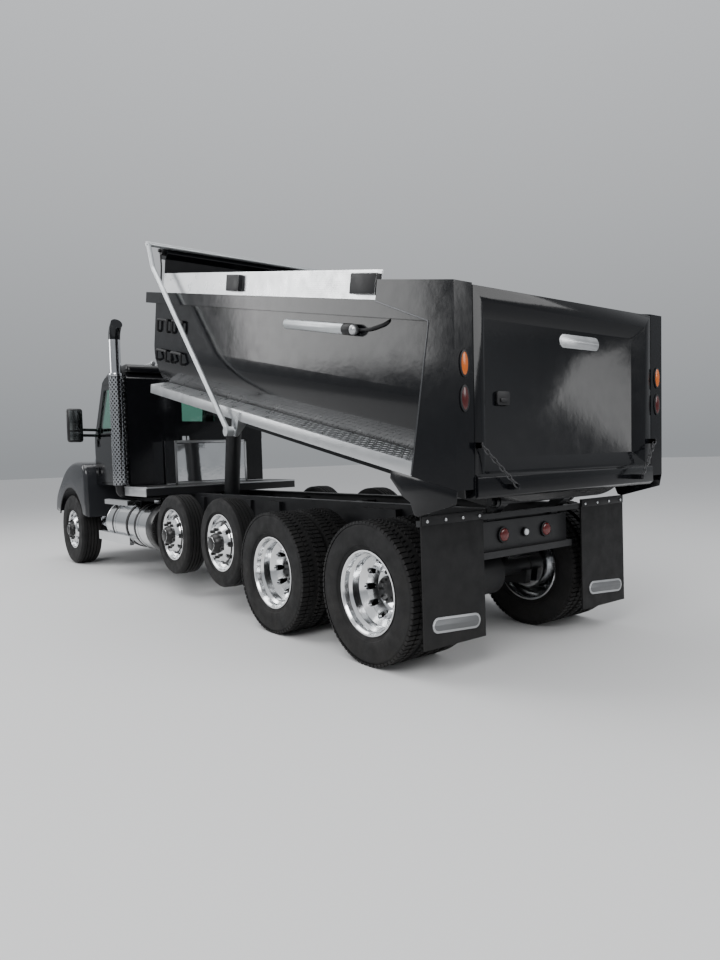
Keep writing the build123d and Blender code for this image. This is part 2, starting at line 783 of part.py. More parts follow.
# Cab interior: two seats, dashboard and steering wheel
with BuildPart() as cab_interior:
    floor = cab_floor + cab_wall
    for side in (1, -1):
        seat_y = sorted((side * 230, side * 730))
        block((cab_rear_x + 330, cab_rear_x + 800), seat_y, (floor + 380, floor + 500))
        block((cab_rear_x + 400, cab_rear_x + 700), sorted((side * 330, side * 630)), (floor, floor + 385))
        back = [
            (cab_rear_x + 330, floor + 400),
            (cab_rear_x + 440, floor + 400),
            (cab_rear_x + 330, floor + 1150),
            (cab_rear_x + 230, floor + 1150),
        ]
        side_plate(back, seat_y)
    dash = [
        (cab_front_x - cab_wall, floor + 250),
        (cab_front_x - cab_wall - 330, floor + 420),
        (cab_front_x - cab_wall - 300, floor + 640),
        (cab_front_x - cab_wall - 120, floor + 680),
        (cab_front_x - cab_wall, floor + 560),
    ]
    side_plate(dash, (-cab_half + 60, cab_half - 60))
    column = Plane(origin=(cab_front_x - 540, 480, floor + 620), z_dir=(-0.5, 0, 0.866))
    with BuildSketch(column) as ring:
        Circle(225)
        Circle(198, mode=Mode.SUBTRACT)
        Rectangle(400, 40)
        Circle(45)
    extrude(ring.sketch, amount=25)
    bar((cab_front_x - 540, 480, floor + 622), (cab_front_x - 300, 480, floor + 500), 28)
write(cab_interior, "cab_interior")

# Doors, their glass and the mirrors that ride on them
mirror_x = rear_axle_x + 6270
mirror_y = 1450
mirror_z = 2120
door_window_view = [
    (door_rear_x + 70, 2010),
    (door_rear_x + 70, door_top - 70),
    (windscreen_head[0] - 80, door_top - 70),
    (door_front_x - 70, windscreen_foot[1] + 60),
    (door_front_x - 70, 2010),
]
for side_name, side in sides:
    outer = side * (cab_half + 6)
    inner = side * (cab_half + 6 - door_wall)
    with BuildPart() as door:
        side_plate(door_view, sorted((outer, inner)))
        side_plate(door_window_view, sorted((side * (cab_half + 20), side * (cab_half - 80))), Mode.SUBTRACT)
        block((door_rear_x + 60, door_rear_x + 230), sorted((outer, side * (cab_half + 36))), (1800, 1850))
        pin_y = side * door_hinge_y
        for z in door_hinge_z:
            notch = (z - 31, z + 31)
            bar((door_hinge_x, pin_y, notch[0]), (door_hinge_x, pin_y, notch[1]), door_knuckle + 2, Mode.SUBTRACT)
            bar((door_hinge_x, pin_y, z - 65), (door_hinge_x, pin_y, z + 65), door_pin)
            for low in (z - 65, z + 30 + seat_gap):
                high = low + 35 - seat_gap
                bar((door_hinge_x, pin_y, low), (door_hinge_x, pin_y, high), door_knuckle)
                leaf_y = sorted((side * (cab_half + 4), side * (cab_half + 12)))
                block((door_hinge_x - 70, door_hinge_x), leaf_y, (low, high))
    write(door, f"door_{side_name}")
    with BuildPart() as glass:
        side_view(
            door_window_view,
            seat_gap,
            sorted((side * (cab_half - 10), side * (cab_half - 10 - glass_wall))),
        )
    write(glass, f"door_glass_{side_name}")
    with BuildPart() as mirror:
        head_y = sorted((side * (mirror_y - 110), side * (mirror_y + 110)))
        block((mirror_x - 45, mirror_x + 45), head_y, (mirror_z - 240, mirror_z + 240))
        fillet(mirror.edges().filter_by(Axis.X), 30)
        for z in (mirror_z - 60, mirror_z - 130):
            bar((door_front_x - 40, outer + side * 20, z), (mirror_x + 20, side * (mirror_y - 90), z), 16)
        foot = sorted((outer, outer + side * 40))
        block((door_front_x - 70, door_front_x - 12), foot, (mirror_z - 160, mirror_z - 30))
    write(mirror, f"mirror_{side_name}")

# Exhaust stack: pipe with a curved tip, heat shield and cab brackets
stack_bottom = 1130
stack_straight_top = 3230
tip_radius = 230
with BuildPart() as exhaust_stack:
    with BuildLine() as route:
        Line((stack_x, stack_y, stack_bottom), (stack_x, stack_y, stack_straight_top))
        ThreePointArc(
            (stack_x, stack_y, stack_straight_top),
            (
                stack_x - tip_radius * (1 - cos(radians(30))),
                stack_y,
                stack_straight_top + tip_radius * sin(radians(30)),
            ),
            (
                stack_x - tip_radius * (1 - cos(radians(60))),
                stack_y,
                stack_straight_top + tip_radius * sin(radians(60)),
            ),
        )
    with BuildSketch(Plane.XY.offset(stack_bottom)) as ring:
        with Locations((stack_x, stack_y)):
            Circle(stack_radius)
            Circle(stack_radius - 4, mode=Mode.SUBTRACT)
    sweep(ring.sketch, path=route.wire())
    with BuildSketch(Plane.XY.offset(deck_top + 15)) as guard:
        with Locations((stack_x, stack_y)):
            Circle(stack_shield_radius)
            Circle(stack_shield_radius - 4, mode=Mode.SUBTRACT)
    extrude(guard.sketch, amount=1515)
    for z in (1500, 2500):
        block((stack_x - 20, stack_x + 20), (cab_half, stack_y - stack_radius + 2), (z - 30, z + 30))
        shield_stay = (stack_y + stack_radius - 2, stack_y + stack_shield_radius - 2)
        block((stack_x - 8, stack_x + 8), shield_stay, (z - 30, z + 30))
    bar((stack_x, stack_y, stack_bottom + 60), (stack_x, 470, stack_bottom - 5), stack_radius - 8)
write(exhaust_stack, "exhaust_stack")

# Rear panel with the mud-flap bar, and the flaps
with BuildPart() as rear_panel:
    block((rail_rear_x - 8, rail_rear_x), (-panel_half, panel_half), (800, panel_top))
    block((rail_rear_x - 60, rail_rear_x), (-panel_half, panel_half), (770, 820))
    bar_z = (flap_top - 75, flap_top - 35)
    block((flap_x + flap_wall, flap_x + flap_wall + 40), (-flap_outer_y, flap_outer_y), bar_z)
    for side in (1, -1):
        stay_y = sorted((side * (rail_half + 10), side * (rail_half + 50)))
        foot_y = sorted((side * rail_half, side * (rail_half + 50)))
        block((flap_x + flap_wall, rail_rear_x + 120), stay_y, bar_z)
        block((rail_rear_x + 80, rail_rear_x + 120), foot_y, bar_z)
write(rear_panel, "rear_panel")

with BuildPart() as mud_flaps:
    for side in (1, -1):
        flap_y = sorted((side * flap_outer_y, side * (flap_outer_y - flap_width)))
        block((flap_x, flap_x + flap_wall), flap_y, (flap_bottom, flap_top))
write(mud_flaps, "mud_flaps")

# Lamps on the chassis: stop lamps, reversing lamp, roof markers and horns
with BuildPart() as chassis_lamps:
    for y, radius in ((256, 50), (-256, 50), (0, 35)):
        bar((rail_rear_x - 8, y, 930), (rail_rear_x - 34, y, 930), radius)
    for y in (-700, -230, 0, 230, 700):
        marker = [
            (cab_rear_x + 620, cab_roof),
            (cab_rear_x + 760, cab_roof),
            (cab_rear_x + 740, cab_roof + 35),
            (cab_rear_x + 660, cab_roof + 45),
        ]
        side_plate(marker, (y - 40, y + 40))
write(chassis_lamps, "chassis_lamps")

# Hood: sloped centre with a rounded top, and fenders open over the steered wheels
hood_rear_x = cab_front_x + 20
hood_sections = (
    (hood_rear_x, 800, 2030, 1350),
    (steer_x + 250, 690, 1900, 1200),
    (hood_front_x, 560, 1620, 800),
)


def hood_loft(inset, mode=Mode.ADD):
    """Loft the hood's centre through its sections: columns are x, half width, top and bottom."""
    sections = []
    for x, half, top, bottom in hood_sections:
        w = half - inset
        t = top - inset
        place = x - inset if x == hood_front_x else x
        with BuildSketch(Plane.YZ.offset(place)) as section:
            with BuildLine():
                Line((-w, bottom), (w, bottom))
                Line((w, bottom), (w, t - 170))
                ThreePointArc((w, t - 170), (w - 45, t - 60), (w - 160, t - 20))
                ThreePointArc((w - 160, t - 20), (0, t), (-w + 160, t - 20))
                ThreePointArc((-w + 160, t - 20), (-w + 45, t - 60), (-w, t - 170))
                Line((-w, t - 170), (-w, bottom))
            make_face()
        sections.append(section.sketch)
    loft(sections=sections, ruled=True, mode=mode)


fender_view = [
    (hood_rear_x, 760),
    (hood_rear_x, 1560),
    (steer_x - 440, 1600),
    (steer_x - 120, 1540),
    (steer_x + 240, 1400),
    (steer_x + 560, 1200),
    (hood_front_x - 30, 1050),
    (hood_front_x - 30, 790),
    (steer_x + 640, 790),
    (steer_x + 640, 760),
]
grille_half = 430
grille_z = (900, 1500)
grille_rim = 30
slats = 11
lamp_y = (740, 1080)
lamp_z = (850, 1010)
with BuildPart() as hood:
    both_sides(fender_view, (fender_inner_y - 200, fender_outer_y))
    for side in (1, -1):
        wheel_space = sorted((side * fender_inner_y, side * (fender_outer_y - panel_wall)))
        engine_space = sorted((side * (fender_inner_y - 210), side * (fender_inner_y - panel_wall)))
        side_view(fender_view, panel_wall, wheel_space, Mode.SUBTRACT)
        side_view(fender_view, panel_wall, engine_space, Mode.SUBTRACT)
    hood_loft(0)
    hood_loft(panel_wall, Mode.SUBTRACT)
    block((hood_rear_x - 5, hood_rear_x + panel_wall), (-780, 780), (1000, 2000), Mode.SUBTRACT)
    grille_hole = (-grille_half - seat_gap, grille_half + seat_gap)
    block((hood_front_x - 20, hood_front_x + 5), grille_hole, grille_z, Mode.SUBTRACT)
    for side in (1, -1):
        arch = sorted((side * 300, side * (fender_outer_y + 20)))
        cross_bar(steer_x, steer_tyre_radius, arch, arch_radius, Mode.SUBTRACT)
        block((steer_x - 700, steer_x + 600), arch, (700, 800), Mode.SUBTRACT)
        lamp_hole = sorted((side * (lamp_y[0] - seat_gap), side * (lamp_y[1] + seat_gap)))
        hole_z = (lamp_z[0] - seat_gap, lamp_z[1] + seat_gap)
        block((hood_front_x - 60, hood_front_x), lamp_hole, hole_z, Mode.SUBTRACT)
    ear = [
        (hood_front_x - 70, hood_hinge_z + 60),
        (hood_front_x, hood_hinge_z + 60),
        (hood_hinge_x + 20, hood_hinge_z + 20),
        (hood_hinge_x + 20, hood_hinge_z - 20),
        (hood_hinge_x - 20, hood_hinge_z - 20),
        (hood_front_x - 70, hood_hinge_z + 30),
    ]
    both_sides(ear, hood_ear_y)
    cross_bar(hood_hinge_x, hood_hinge_z, (-hood_ear_y[1], hood_ear_y[1]), hood_pin_radius)
write(hood, "hood")

# Grille: surround and slats
with BuildPart() as grille:
    front = hood_front_x - 12
    block((front, front + 20), (-grille_half, grille_half), (grille_z[0] + seat_gap, grille_z[1] - seat_gap))
    open_y = (-grille_half + grille_rim, grille_half - grille_rim)
    open_z = (grille_z[0] + grille_rim, grille_z[1] - grille_rim)
    block((front - 5, front + 25), open_y, open_z, Mode.SUBTRACT)
    for i in range(slats):
        z = open_z[0] + (i + 0.5) * (open_z[1] - open_z[0]) / slats
        block((front + 2, front + 18), (open_y[0] - 10, open_y[1] + 10), (z - 9, z + 9))
write(grille, "grille")

# Headlamps in the fenders' noses
with BuildPart() as headlamps:
    for side in (1, -1):
        lamp = sorted((side * lamp_y[0], side * lamp_y[1]))
        block((hood_front_x - 50, hood_front_x - 15), lamp, lamp_z)
write(headlamps, "headlamps")

# Bed pose: modelled lying on the frame, then raised about its hinge
bed_pose = Location((hinge_x, 0, hinge_z), (0, -bed_rest_tilt, 0)) * Location((-hinge_x, 0, -hinge_z))
gate_slope = degrees(atan2(gate_top_a - gate_foot_a, gate_top_b - gate_foot_b))


def lay(points):
    """Turn bed values (a, b) into places on the lowered bed."""
    return [(hinge_x + a, hinge_z + b) for a, b in points]


def gate_line_a(b, ahead=0):
    """Give a on the slanted rear plane at height b, moved ahead by this much."""
    return gate_top_a - (gate_top_b - b) * (gate_top_a - gate_foot_a) / (gate_top_b - gate_foot_b) + ahead


def bed_section(x, wall, length, mode=Mode.ADD):
    """Extrude the half-round trough's solid section, drawn in by the wall."""
    half = bed_half - wall
    turn_radius = bed_round - wall
    flat = bed_half - bed_round
    centre_z = hinge_z + bed_round_b
    top = hinge_z + rail_top_b + (wall > 0) * 200
    with BuildSketch(Plane.YZ.offset(x)) as section:
        with BuildLine():
            Line((half, top), (half, centre_z))
            CenterArc((flat, centre_z), turn_radius, 0, -90)
            Line((flat, centre_z - turn_radius), (-flat, centre_z - turn_radius))
            CenterArc((-flat, centre_z), turn_radius, -90, -90)
            Line((-half, centre_z), (-half, top))
            Line((-half, top), (half, top))
        make_face()
    extrude(section.sketch, amount=length, mode=mode)


# Bed shell: trough, front wall, top rails, rear posts, sills, hinge lugs and hoist bracket
bed_floor_b = bed_round_b - bed_round
rear_reach = 420
sill_y = (352, rail_half)
lug_y = (440, 470)
with BuildPart() as bed_shell:
    bed_section(hinge_x - rear_reach, 0, bed_front_a + rear_reach)
    bed_section(hinge_x - rear_reach - 10, bed_wall, bed_front_a + rear_reach + 10 - bed_wall, Mode.SUBTRACT)
    cut = lay([
        (gate_line_a(2000, gate_depth), 2000),
        (gate_line_a(-200, gate_depth), -200),
        (-1200, -200),
        (-1200, 2000),
    ])
    side_plate(cut, (-1400, 1400), Mode.SUBTRACT)
    for side in (1, -1):
        rail = sorted((side * (bed_half - bed_wall), side * rail_outer_y))
        block(
            (hinge_x + gate_line_a(1300, 150), hinge_x + bed_front_a + 130),
            rail,
            (hinge_z + rail_top_b - rail_depth, hinge_z + rail_top_b),
        )
        post = lay([
            (gate_foot_a, gate_foot_b),
            (gate_top_a, gate_top_b),
            (gate_line_a(1500), 1500),
            (670, 1500),
            (670, rail_top_b - 10),
            (post_front_a, rail_top_b - rail_depth),
            (post_front_a, gate_foot_b),
        ])
        side_plate(post, sorted((side * (bed_half - bed_wall), side * rail_outer_y)))
        web = lay([
            (gate_line_a(gate_foot_b, gate_depth), gate_foot_b),
            (gate_line_a(bed_round_b, gate_depth), bed_round_b),
            (post_front_a, bed_round_b),
            (post_front_a, gate_foot_b),
        ])
        side_plate(web, sorted((side * (bed_half - bed_round + 520), side * rail_outer_y)))
        block(
            (hinge_x + 140, hinge_x + bed_front_a),
            sorted((side * sill_y[0], side * sill_y[1])),
            (hinge_z + sill_bottom_b, hinge_z + bed_floor_b + 2),
        )
        lug = lay([
            (0, -hinge_eye_radius + 4),
            (0, bed_floor_b - 12),
            (420, bed_floor_b + 2),
            (420, sill_bottom_b),
        ])
        side_plate(lug, sorted((side * (sill_y[1] - 2), side * lug_y[1])), Mode.ADD)
        cross_bar(hinge_x, hinge_z, sorted((side * lug_y[0], side * lug_y[1])), hinge_eye_radius)
        block(
            (hinge_x - 60, hinge_x + 132),
            sorted((side * (sill_y[1] - 8), side * lug_y[0])),
            (hinge_z - 70, hinge_z + bed_floor_b - 0.5),
            Mode.SUBTRACT,
        )
    bed_section(hinge_x - rear_reach - 10, bed_wall, bed_front_a + rear_reach + 10 - bed_wall, Mode.SUBTRACT)
    column = lay([
        (gate_foot_a, gate_foot_b),
        (gate_line_a(1500), 1500),
        (gate_line_a(1500, gate_depth), 1500),
        (gate_line_a(gate_foot_b, gate_depth), gate_foot_b),
    ])
    both_sides(column, (post_inner_y, rail_outer_y))
    cross_bar(hinge_x, hinge_z, (-600, 600), hinge_pin_radius + spindle_clearance, Mode.SUBTRACT)
    for step in (1200, 2400, 3600, 4240):
        block(
            (hinge_x + step, hinge_x + step + 60),
            (-sill_y[0] - 5, sill_y[0] + 5),
            (hinge_z - 10, hinge_z + bed_floor_b + 2),
        )
    house = lay([
        (bed_front_a, house_top_b + house_wall),
        (bed_front_a - house_depth - house_wall, sill_bottom_b),
        (bed_front_a, sill_bottom_b),
    ])
    side_plate(house, (-house_half - house_wall, house_half + house_wall))
    recess = lay([
        (bed_front_a + 20, house_top_b + 20 * (house_top_b - sill_bottom_b) / house_depth),
        (bed_front_a - house_depth - 10 * house_depth / (house_top_b - sill_bottom_b), sill_bottom_b - 10),
        (bed_front_a + 20, sill_bottom_b - 10),
    ])
    side_plate(recess, (-house_half, house_half), Mode.SUBTRACT)
    bracket = lay([
        (bed_front_a, hoist_top_b - 95),
        (bed_front_a, hoist_top_b + 80),
        (hoist_top_a + 70, hoist_top_b + 80),
        (hoist_top_a + 70, hoist_top_b - 75),
    ])
    both_sides(bracket, bracket_y)
    gate_hinge = lay([(
        gate_top_a + gate_hinge_up * sin(radians(gate_slope)) + gate_hinge_in * cos(radians(gate_slope)),
        gate_top_b + gate_hinge_up * cos(radians(gate_slope)) - gate_hinge_in * sin(radians(gate_slope)),
    )])[0]
    for side in (1, -1):
        y = sorted((side * (post_inner_y - 10), side * (post_inner_y + 75)))
        cross_bar(gate_hinge[0], gate_hinge[1], y, gate_pin_radius + spindle_clearance, Mode.SUBTRACT)
write(bed_shell, "bed_shell", bed_pose)

# Tailgate: panel in a frame, with a lower ledge, top member and hinge pins
gate_pose = bed_pose * Location((hinge_x + gate_top_a, 0, hinge_z + gate_top_b), (0, gate_slope, 0))
ledge_top = -900
with BuildPart() as tailgate:
    block((0, gate_depth - 5), (-gate_half, gate_half), (-gate_below, gate_above))
    inner_y = (-gate_half + 100, gate_half - 100)
    outer_y = (-gate_half + 125, gate_half - 125)
    block((40, gate_depth), inner_y, (-gate_below + 100, gate_above - 150), Mode.SUBTRACT)
    block((-5, 28), outer_y, (ledge_top, gate_above - 235), Mode.SUBTRACT)
    ledge = [(0, ledge_top), (-75, ledge_top - 70), (-75, ledge_top - 200), (0, -gate_below)]
    side_plate(ledge, (-gate_half + 135, gate_half - 135))
    for side in (1, -1):
        y = sorted((side * (gate_half - 5), side * (post_inner_y + 60)))
        cross_bar(gate_hinge_in, gate_hinge_up, y, gate_pin_radius)
write(tailgate, "tailgate", gate_pose)

# Spreader chains at the gate's lower corners
links = 7
link_radius = 7
with BuildPart() as gate_chains:
    for side in (1, -1):
        top_end = Vector(-45, side * (gate_half - 15), ledge_top + 130)
        low_end = Vector(-100, side * (gate_half - 300), ledge_top - 150)
        block((top_end.X - 12, 0), (top_end.Y - 8, top_end.Y + 8), (top_end.Z - 20, top_end.Z + 20))
        block((low_end.X - 12, ledge[1][0]), (low_end.Y - 8, low_end.Y + 8), (low_end.Z - 20, low_end.Z + 20))
        way = (low_end - top_end) / links
        for i in range(links):
            start = top_end + way * i
            end = top_end + way * (i + 1)
            bar((start.X, start.Y, start.Z), (end.X, end.Y, end.Z), link_radius)
write(gate_chains, "gate_chains", gate_pose)

# Side boards over the rails, with stake pockets
with BuildPart() as side_boards:
    for side in (1, -1):
        y = sorted((side * (bed_half - bed_wall), side * (bed_half - bed_wall + board_wall)))
        board_span = (hinge_x + board_rear_a, hinge_x + board_front_a)
        block(board_span, y, (hinge_z + rail_top_b, hinge_z + board_top_b))
        for a, length in ((board_rear_a + 10, 305), (2765, 245)):
            pocket = sorted((side * (bed_half - bed_wall + board_wall), side * (rail_outer_y - 20)))
            pocket_z = (hinge_z + rail_top_b + 40, hinge_z + board_top_b - 30)
            block((hinge_x + a, hinge_x + a + length), pocket, pocket_z)
write(side_boards, "side_boards", bed_pose)

# Running boards along the lower sides, with a folded lip, boxed front ends and the bow's pivots
bow_a = 2600
bow_b = 100
bow_y = 1300
bow_pin_radius = 20
board_inner_y = 1000.5
board_outer_y = 1216
with BuildPart() as running_boards:
    for side in (1, -1):
        tread = [
            (board_inner_y, hinge_z + 340),
            (board_outer_y, hinge_z + 305),
            (board_outer_y, hinge_z + 205),
            (board_outer_y - 8, hinge_z + 205),
            (board_outer_y - 8, hinge_z + 298),
            (board_inner_y, hinge_z + 332),
        ]
        running_span = (hinge_x + post_front_a + 10, hinge_x + running_front_a)
        cross_plate([(side * y, z) for y, z in tread], running_span)
        end = [(board_inner_y, hinge_z + 336), (board_outer_y, hinge_z + 305), (board_outer_y, hinge_z + 205)]
        cross_plate([(side * y, z) for y, z in end], (running_span[1] - 8, running_span[1]))
        pivot_x = hinge_x + bow_a
        gusset = [
            (board_inner_y + 3, hinge_z + 334),
            (board_outer_y - 4, hinge_z + 300),
            (board_outer_y + 20, hinge_z + bow_b - 40),
            (board_outer_y - 30, hinge_z + bow_b - 40),
        ]
        cross_plate([(side * y, z) for y, z in gusset], (pivot_x - 8, pivot_x + 8))
        plate = [
            (pivot_x - 75, hinge_z + 290),
            (pivot_x + 75, hinge_z + 290),
            (pivot_x + 40, hinge_z + bow_b - 45),
            (pivot_x - 40, hinge_z + bow_b - 45),
        ]
        side_plate(plate, sorted((side * board_outer_y, side * (board_outer_y + 20))))
        pin_y = sorted((side * board_outer_y, side * (bow_y + 28)))
        cross_bar(pivot_x, hinge_z + bow_b, pin_y, bow_pin_radius)
write(running_boards, "running_boards", bed_pose)

# Cab shield: front wall extension with the tarp housing on top
with BuildPart() as cab_shield:
    wall = lay([
        (bed_front_a, rail_top_b),
        (bed_front_a - bed_wall, rail_top_b),
        (bed_front_a - bed_wall, shield_top_b - 160),
        (bed_front_a - 70, shield_top_b - 100),
        (bed_front_a - 30, shield_top_b),
        (bed_front_a + 100, shield_top_b),
        (bed_front_a + 130, shield_top_b - 60),
        (bed_front_a + 100, shield_top_b - 160),
        (bed_front_a, shield_top_b - 170),
    ])
    side_plate(wall, (-shield_half, shield_half))
write(cab_shield, "cab_shield", bed_pose)

# Bed lamps: two oval markers on each rear post
with BuildPart() as bed_lamps:
    for side in (1, -1):
        for up in (-250, -470):
            with BuildSketch(Plane(origin=(0, side * 1140, up), x_dir=(0, 1, 0), z_dir=(-1, 0, 0))) as oval:
                Ellipse(32, 75)
            extrude(oval.sketch, amount=14)
write(bed_lamps, "bed_lamps", gate_pose)

# Tool holder: a tube along the left side under the rail
with BuildPart() as tool_holder:
    x0 = hinge_x + 870
    x1 = hinge_x + 1860
    bar((x0, bed_half + 45, hinge_z + 1150), (x1, bed_half + 45, hinge_z + 1150), 42)
    for x in (x0 + 60, x1 - 60):
        block((x - 25, x + 25), (bed_half, bed_half + 20), (hinge_z + 1110, hinge_z + 1190))
write(tool_holder, "tool_holder", bed_pose)

# Tarp bow: two arms on pivots below the running boards and a cross tube
bow_reach = (2005, 1516)
bow_head = (165, 264)
bow_tube = 26
with BuildPart() as tarp_bow:
    foot = (hinge_x + bow_a, hinge_z + bow_b)
    knee = (foot[0] + bow_reach[0], foot[1] + bow_reach[1])
    head = (knee[0] + bow_head[0], knee[1] + bow_head[1])
    for side in (1, -1):
        bar((foot[0], side * bow_y, foot[1]), (knee[0], side * bow_y, knee[1]), bow_tube)
        bar((knee[0], side * bow_y, knee[1]), (head[0], side * bow_y, head[1]), bow_tube)
        with Locations((knee[0], side * bow_y, knee[1])):
            Sphere(bow_tube)
        hub_y = sorted((side * (bow_y - 45), side * (bow_y + 30)))
        cross_bar(foot[0], foot[1], hub_y, 45)
        cross_bar(foot[0], foot[1], hub_y, bow_pin_radius + spindle_clearance, Mode.SUBTRACT)
    cross_bar(head[0], head[1], (-bow_y - bow_tube, bow_y + bow_tube), bow_tube)
write(tarp_bow, "tarp_bow", bed_pose)

# Hoist: barrel on trunnions and three telescopic stages, drawn along the line to the bed
top_x = hinge_x + hoist_top_a * cos(radians(bed_rest_tilt)) - hoist_top_b * sin(radians(bed_rest_tilt))
top_z = hinge_z + hoist_top_a * sin(radians(bed_rest_tilt)) + hoist_top_b * cos(radians(bed_rest_tilt))
hoist_line = Vector(top_x - hoist_x, 0, top_z - hoist_z)
hoist_plane = Plane(origin=(hoist_x, 0, hoist_z), x_dir=(0, 1, 0), z_dir=hoist_line.normalized())
barrel_foot = -110
barrel_length = hoist_closed - 190


def tube(start, length, outer, inner):
    """Add a tube along the hoist's line, from this distance above the base pivot."""
    with BuildSketch(hoist_plane.offset(start)) as ring:
        Circle(outer)
        if inner:
            Circle(inner, mode=Mode.SUBTRACT)
    extrude(ring.sketch, amount=length)


with BuildPart() as hoist_barrel:
    tube(barrel_foot, 190, barrel_radius, 0)
    tube(60, barrel_length - 60, barrel_radius, stage_radii[0] + stage_gap)
    cross_bar(hoist_x, hoist_z, (-cradle_half - 20, cradle_half + 20), hoist_pin_radius)
write(hoist_barrel, "hoist_barrel")

for i, radius in enumerate(stage_radii):
    out = (i + 1) * stage_share
    start = 90 + 15 * i + out
    length = barrel_length + 20 * (i + 1) + out - start
    last = i == len(stage_radii) - 1
    with BuildPart() as stage:
        tube(start, length, radius, 0 if last else stage_radii[i + 1] + stage_gap)
        if last:
            bar((top_x, -bracket_y[0] + 4, top_z), (top_x, bracket_y[0] - 4, top_z), rod_eye_radius)
            tube(start + length - 5, hoist_line.length - start - length, 40, 0)
    write(stage, f"hoist_stage_{i + 1}")
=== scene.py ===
import json
import math

import bpy
from mathutils import Matrix, Vector


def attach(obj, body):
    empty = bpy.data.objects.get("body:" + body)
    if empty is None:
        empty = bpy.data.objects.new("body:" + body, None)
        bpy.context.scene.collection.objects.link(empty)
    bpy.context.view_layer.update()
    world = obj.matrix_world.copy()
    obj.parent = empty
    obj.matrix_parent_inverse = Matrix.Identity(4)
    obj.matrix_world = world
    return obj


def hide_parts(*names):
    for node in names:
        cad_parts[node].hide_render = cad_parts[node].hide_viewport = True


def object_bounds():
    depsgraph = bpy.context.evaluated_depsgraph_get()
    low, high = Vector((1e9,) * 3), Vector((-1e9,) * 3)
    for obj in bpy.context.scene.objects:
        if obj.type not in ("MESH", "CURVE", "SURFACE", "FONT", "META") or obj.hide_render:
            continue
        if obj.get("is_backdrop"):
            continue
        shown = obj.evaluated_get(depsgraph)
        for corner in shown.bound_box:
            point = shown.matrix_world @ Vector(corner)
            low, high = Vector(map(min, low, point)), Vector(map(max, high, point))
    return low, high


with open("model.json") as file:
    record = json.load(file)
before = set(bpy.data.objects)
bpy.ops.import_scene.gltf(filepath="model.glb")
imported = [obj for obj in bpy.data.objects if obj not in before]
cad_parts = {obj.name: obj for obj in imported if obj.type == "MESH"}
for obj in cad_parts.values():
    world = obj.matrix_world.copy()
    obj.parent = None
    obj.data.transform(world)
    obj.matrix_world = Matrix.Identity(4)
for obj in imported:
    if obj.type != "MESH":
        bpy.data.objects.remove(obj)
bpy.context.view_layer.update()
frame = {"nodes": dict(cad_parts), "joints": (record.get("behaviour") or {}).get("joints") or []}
nodes = frame["nodes"]
hinge_at = {j["name"]: Vector(j["pos_m"]) for j in frame["joints"] if "pos_m" in j}
hands = (("left", 1), ("right", -1))

# Chassis: pressed steel rails, crossmembers, axles and brackets, all sprayed satin black, and a
# cast grey engine. Road dust on them is thickest near the ground and on upward faces.


def new_group(name, inputs, outputs):
    """Start a shader node group; inputs and outputs are (name, kind, value)."""
    tree = bpy.data.node_groups.new(name, "ShaderNodeTree")
    for title, kind, value in inputs:
        made = tree.interface.new_socket(title, in_out="INPUT", socket_type=kind)
        made.default_value = value
    for title, kind in outputs:
        tree.interface.new_socket(title, in_out="OUTPUT", socket_type=kind)
    return tree, tree.nodes.new("NodeGroupInput"), tree.nodes.new("NodeGroupOutput")


def feed(tree, socket, value):
    """Give an input a number, or link another node's output to it."""
    if isinstance(value, (int, float)):
        socket.default_value = value
    else:
        tree.links.new(value, socket)


def maths(tree, operation, first, second):
    """Add a maths node on two values or sockets and return its result."""
    made = tree.nodes.new("ShaderNodeMath")
    made.operation = operation
    feed(tree, made.inputs[0], first)
    feed(tree, made.inputs[1], second)
    return made.outputs[0]


def noise_on(tree, scale, detail=4.0, roughness=0.55, stretch=(1.0, 1.0, 1.0)):
    """Add noise on Object coordinates; the scale is a value or a socket."""
    place = tree.nodes.new("ShaderNodeTexCoord")
    mapping = tree.nodes.new("ShaderNodeMapping")
    mapping.inputs["Scale"].default_value = stretch
    made = tree.nodes.new("ShaderNodeTexNoise")
    tree.links.new(place.outputs["Object"], mapping.inputs["Vector"])
    tree.links.new(mapping.outputs["Vector"], made.inputs["Vector"])
    made.inputs["Detail"].default_value = detail
    made.inputs["Roughness"].default_value = roughness
    feed(tree, made.inputs["Scale"], scale)
    return made.outputs["Fac"]


def spread(tree, value, low, high, to_low=0.0, to_high=1.0):
    """Map a value from one range to another, held at both ends."""
    made = tree.nodes.new("ShaderNodeMapRange")
    made.clamp = True
    for name, number in (("From Min", low), ("From Max", high), ("To Min", to_low), ("To Max", to_high)):
        feed(tree, made.inputs[name], number)
    tree.links.new(value, made.inputs["Value"])
    return made.outputs["Result"]


FLOAT = "NodeSocketFloat"
DUST_COLOUR = (0.13, 0.115, 0.095, 1)
road_dust, given, result = new_group(
    "road_dust", [("Top", FLOAT, 1.4), ("Amount", FLOAT, 0.4), ("Scale", FLOAT, 5.0)], [("Mask", FLOAT)]
)
where = road_dust.nodes.new("ShaderNodeTexCoord")
parted = road_dust.nodes.new("ShaderNodeSeparateXYZ")
road_dust.links.new(where.outputs["Object"], parted.inputs[0])
lean = road_dust.nodes.new("ShaderNodeNewGeometry")
facing = road_dust.nodes.new("ShaderNodeSeparateXYZ")
road_dust.links.new(lean.outputs["Normal"], facing.inputs[0])
fade = spread(road_dust, parted.outputs["Z"], given.outputs["Top"], 0.15)
settled = spread(road_dust, facing.outputs["Z"], 0.2, 1.0, 0.0, 0.5)
cloud = spread(road_dust, noise_on(road_dust, given.outputs["Scale"], 6.0), 0.32, 0.72)
speck = spread(road_dust, noise_on(road_dust, 90.0, 2.0), 0.35, 0.65, 0.6, 1.0)
both = maths(road_dust, "ADD", maths(road_dust, "MULTIPLY", fade, 0.8), settled)
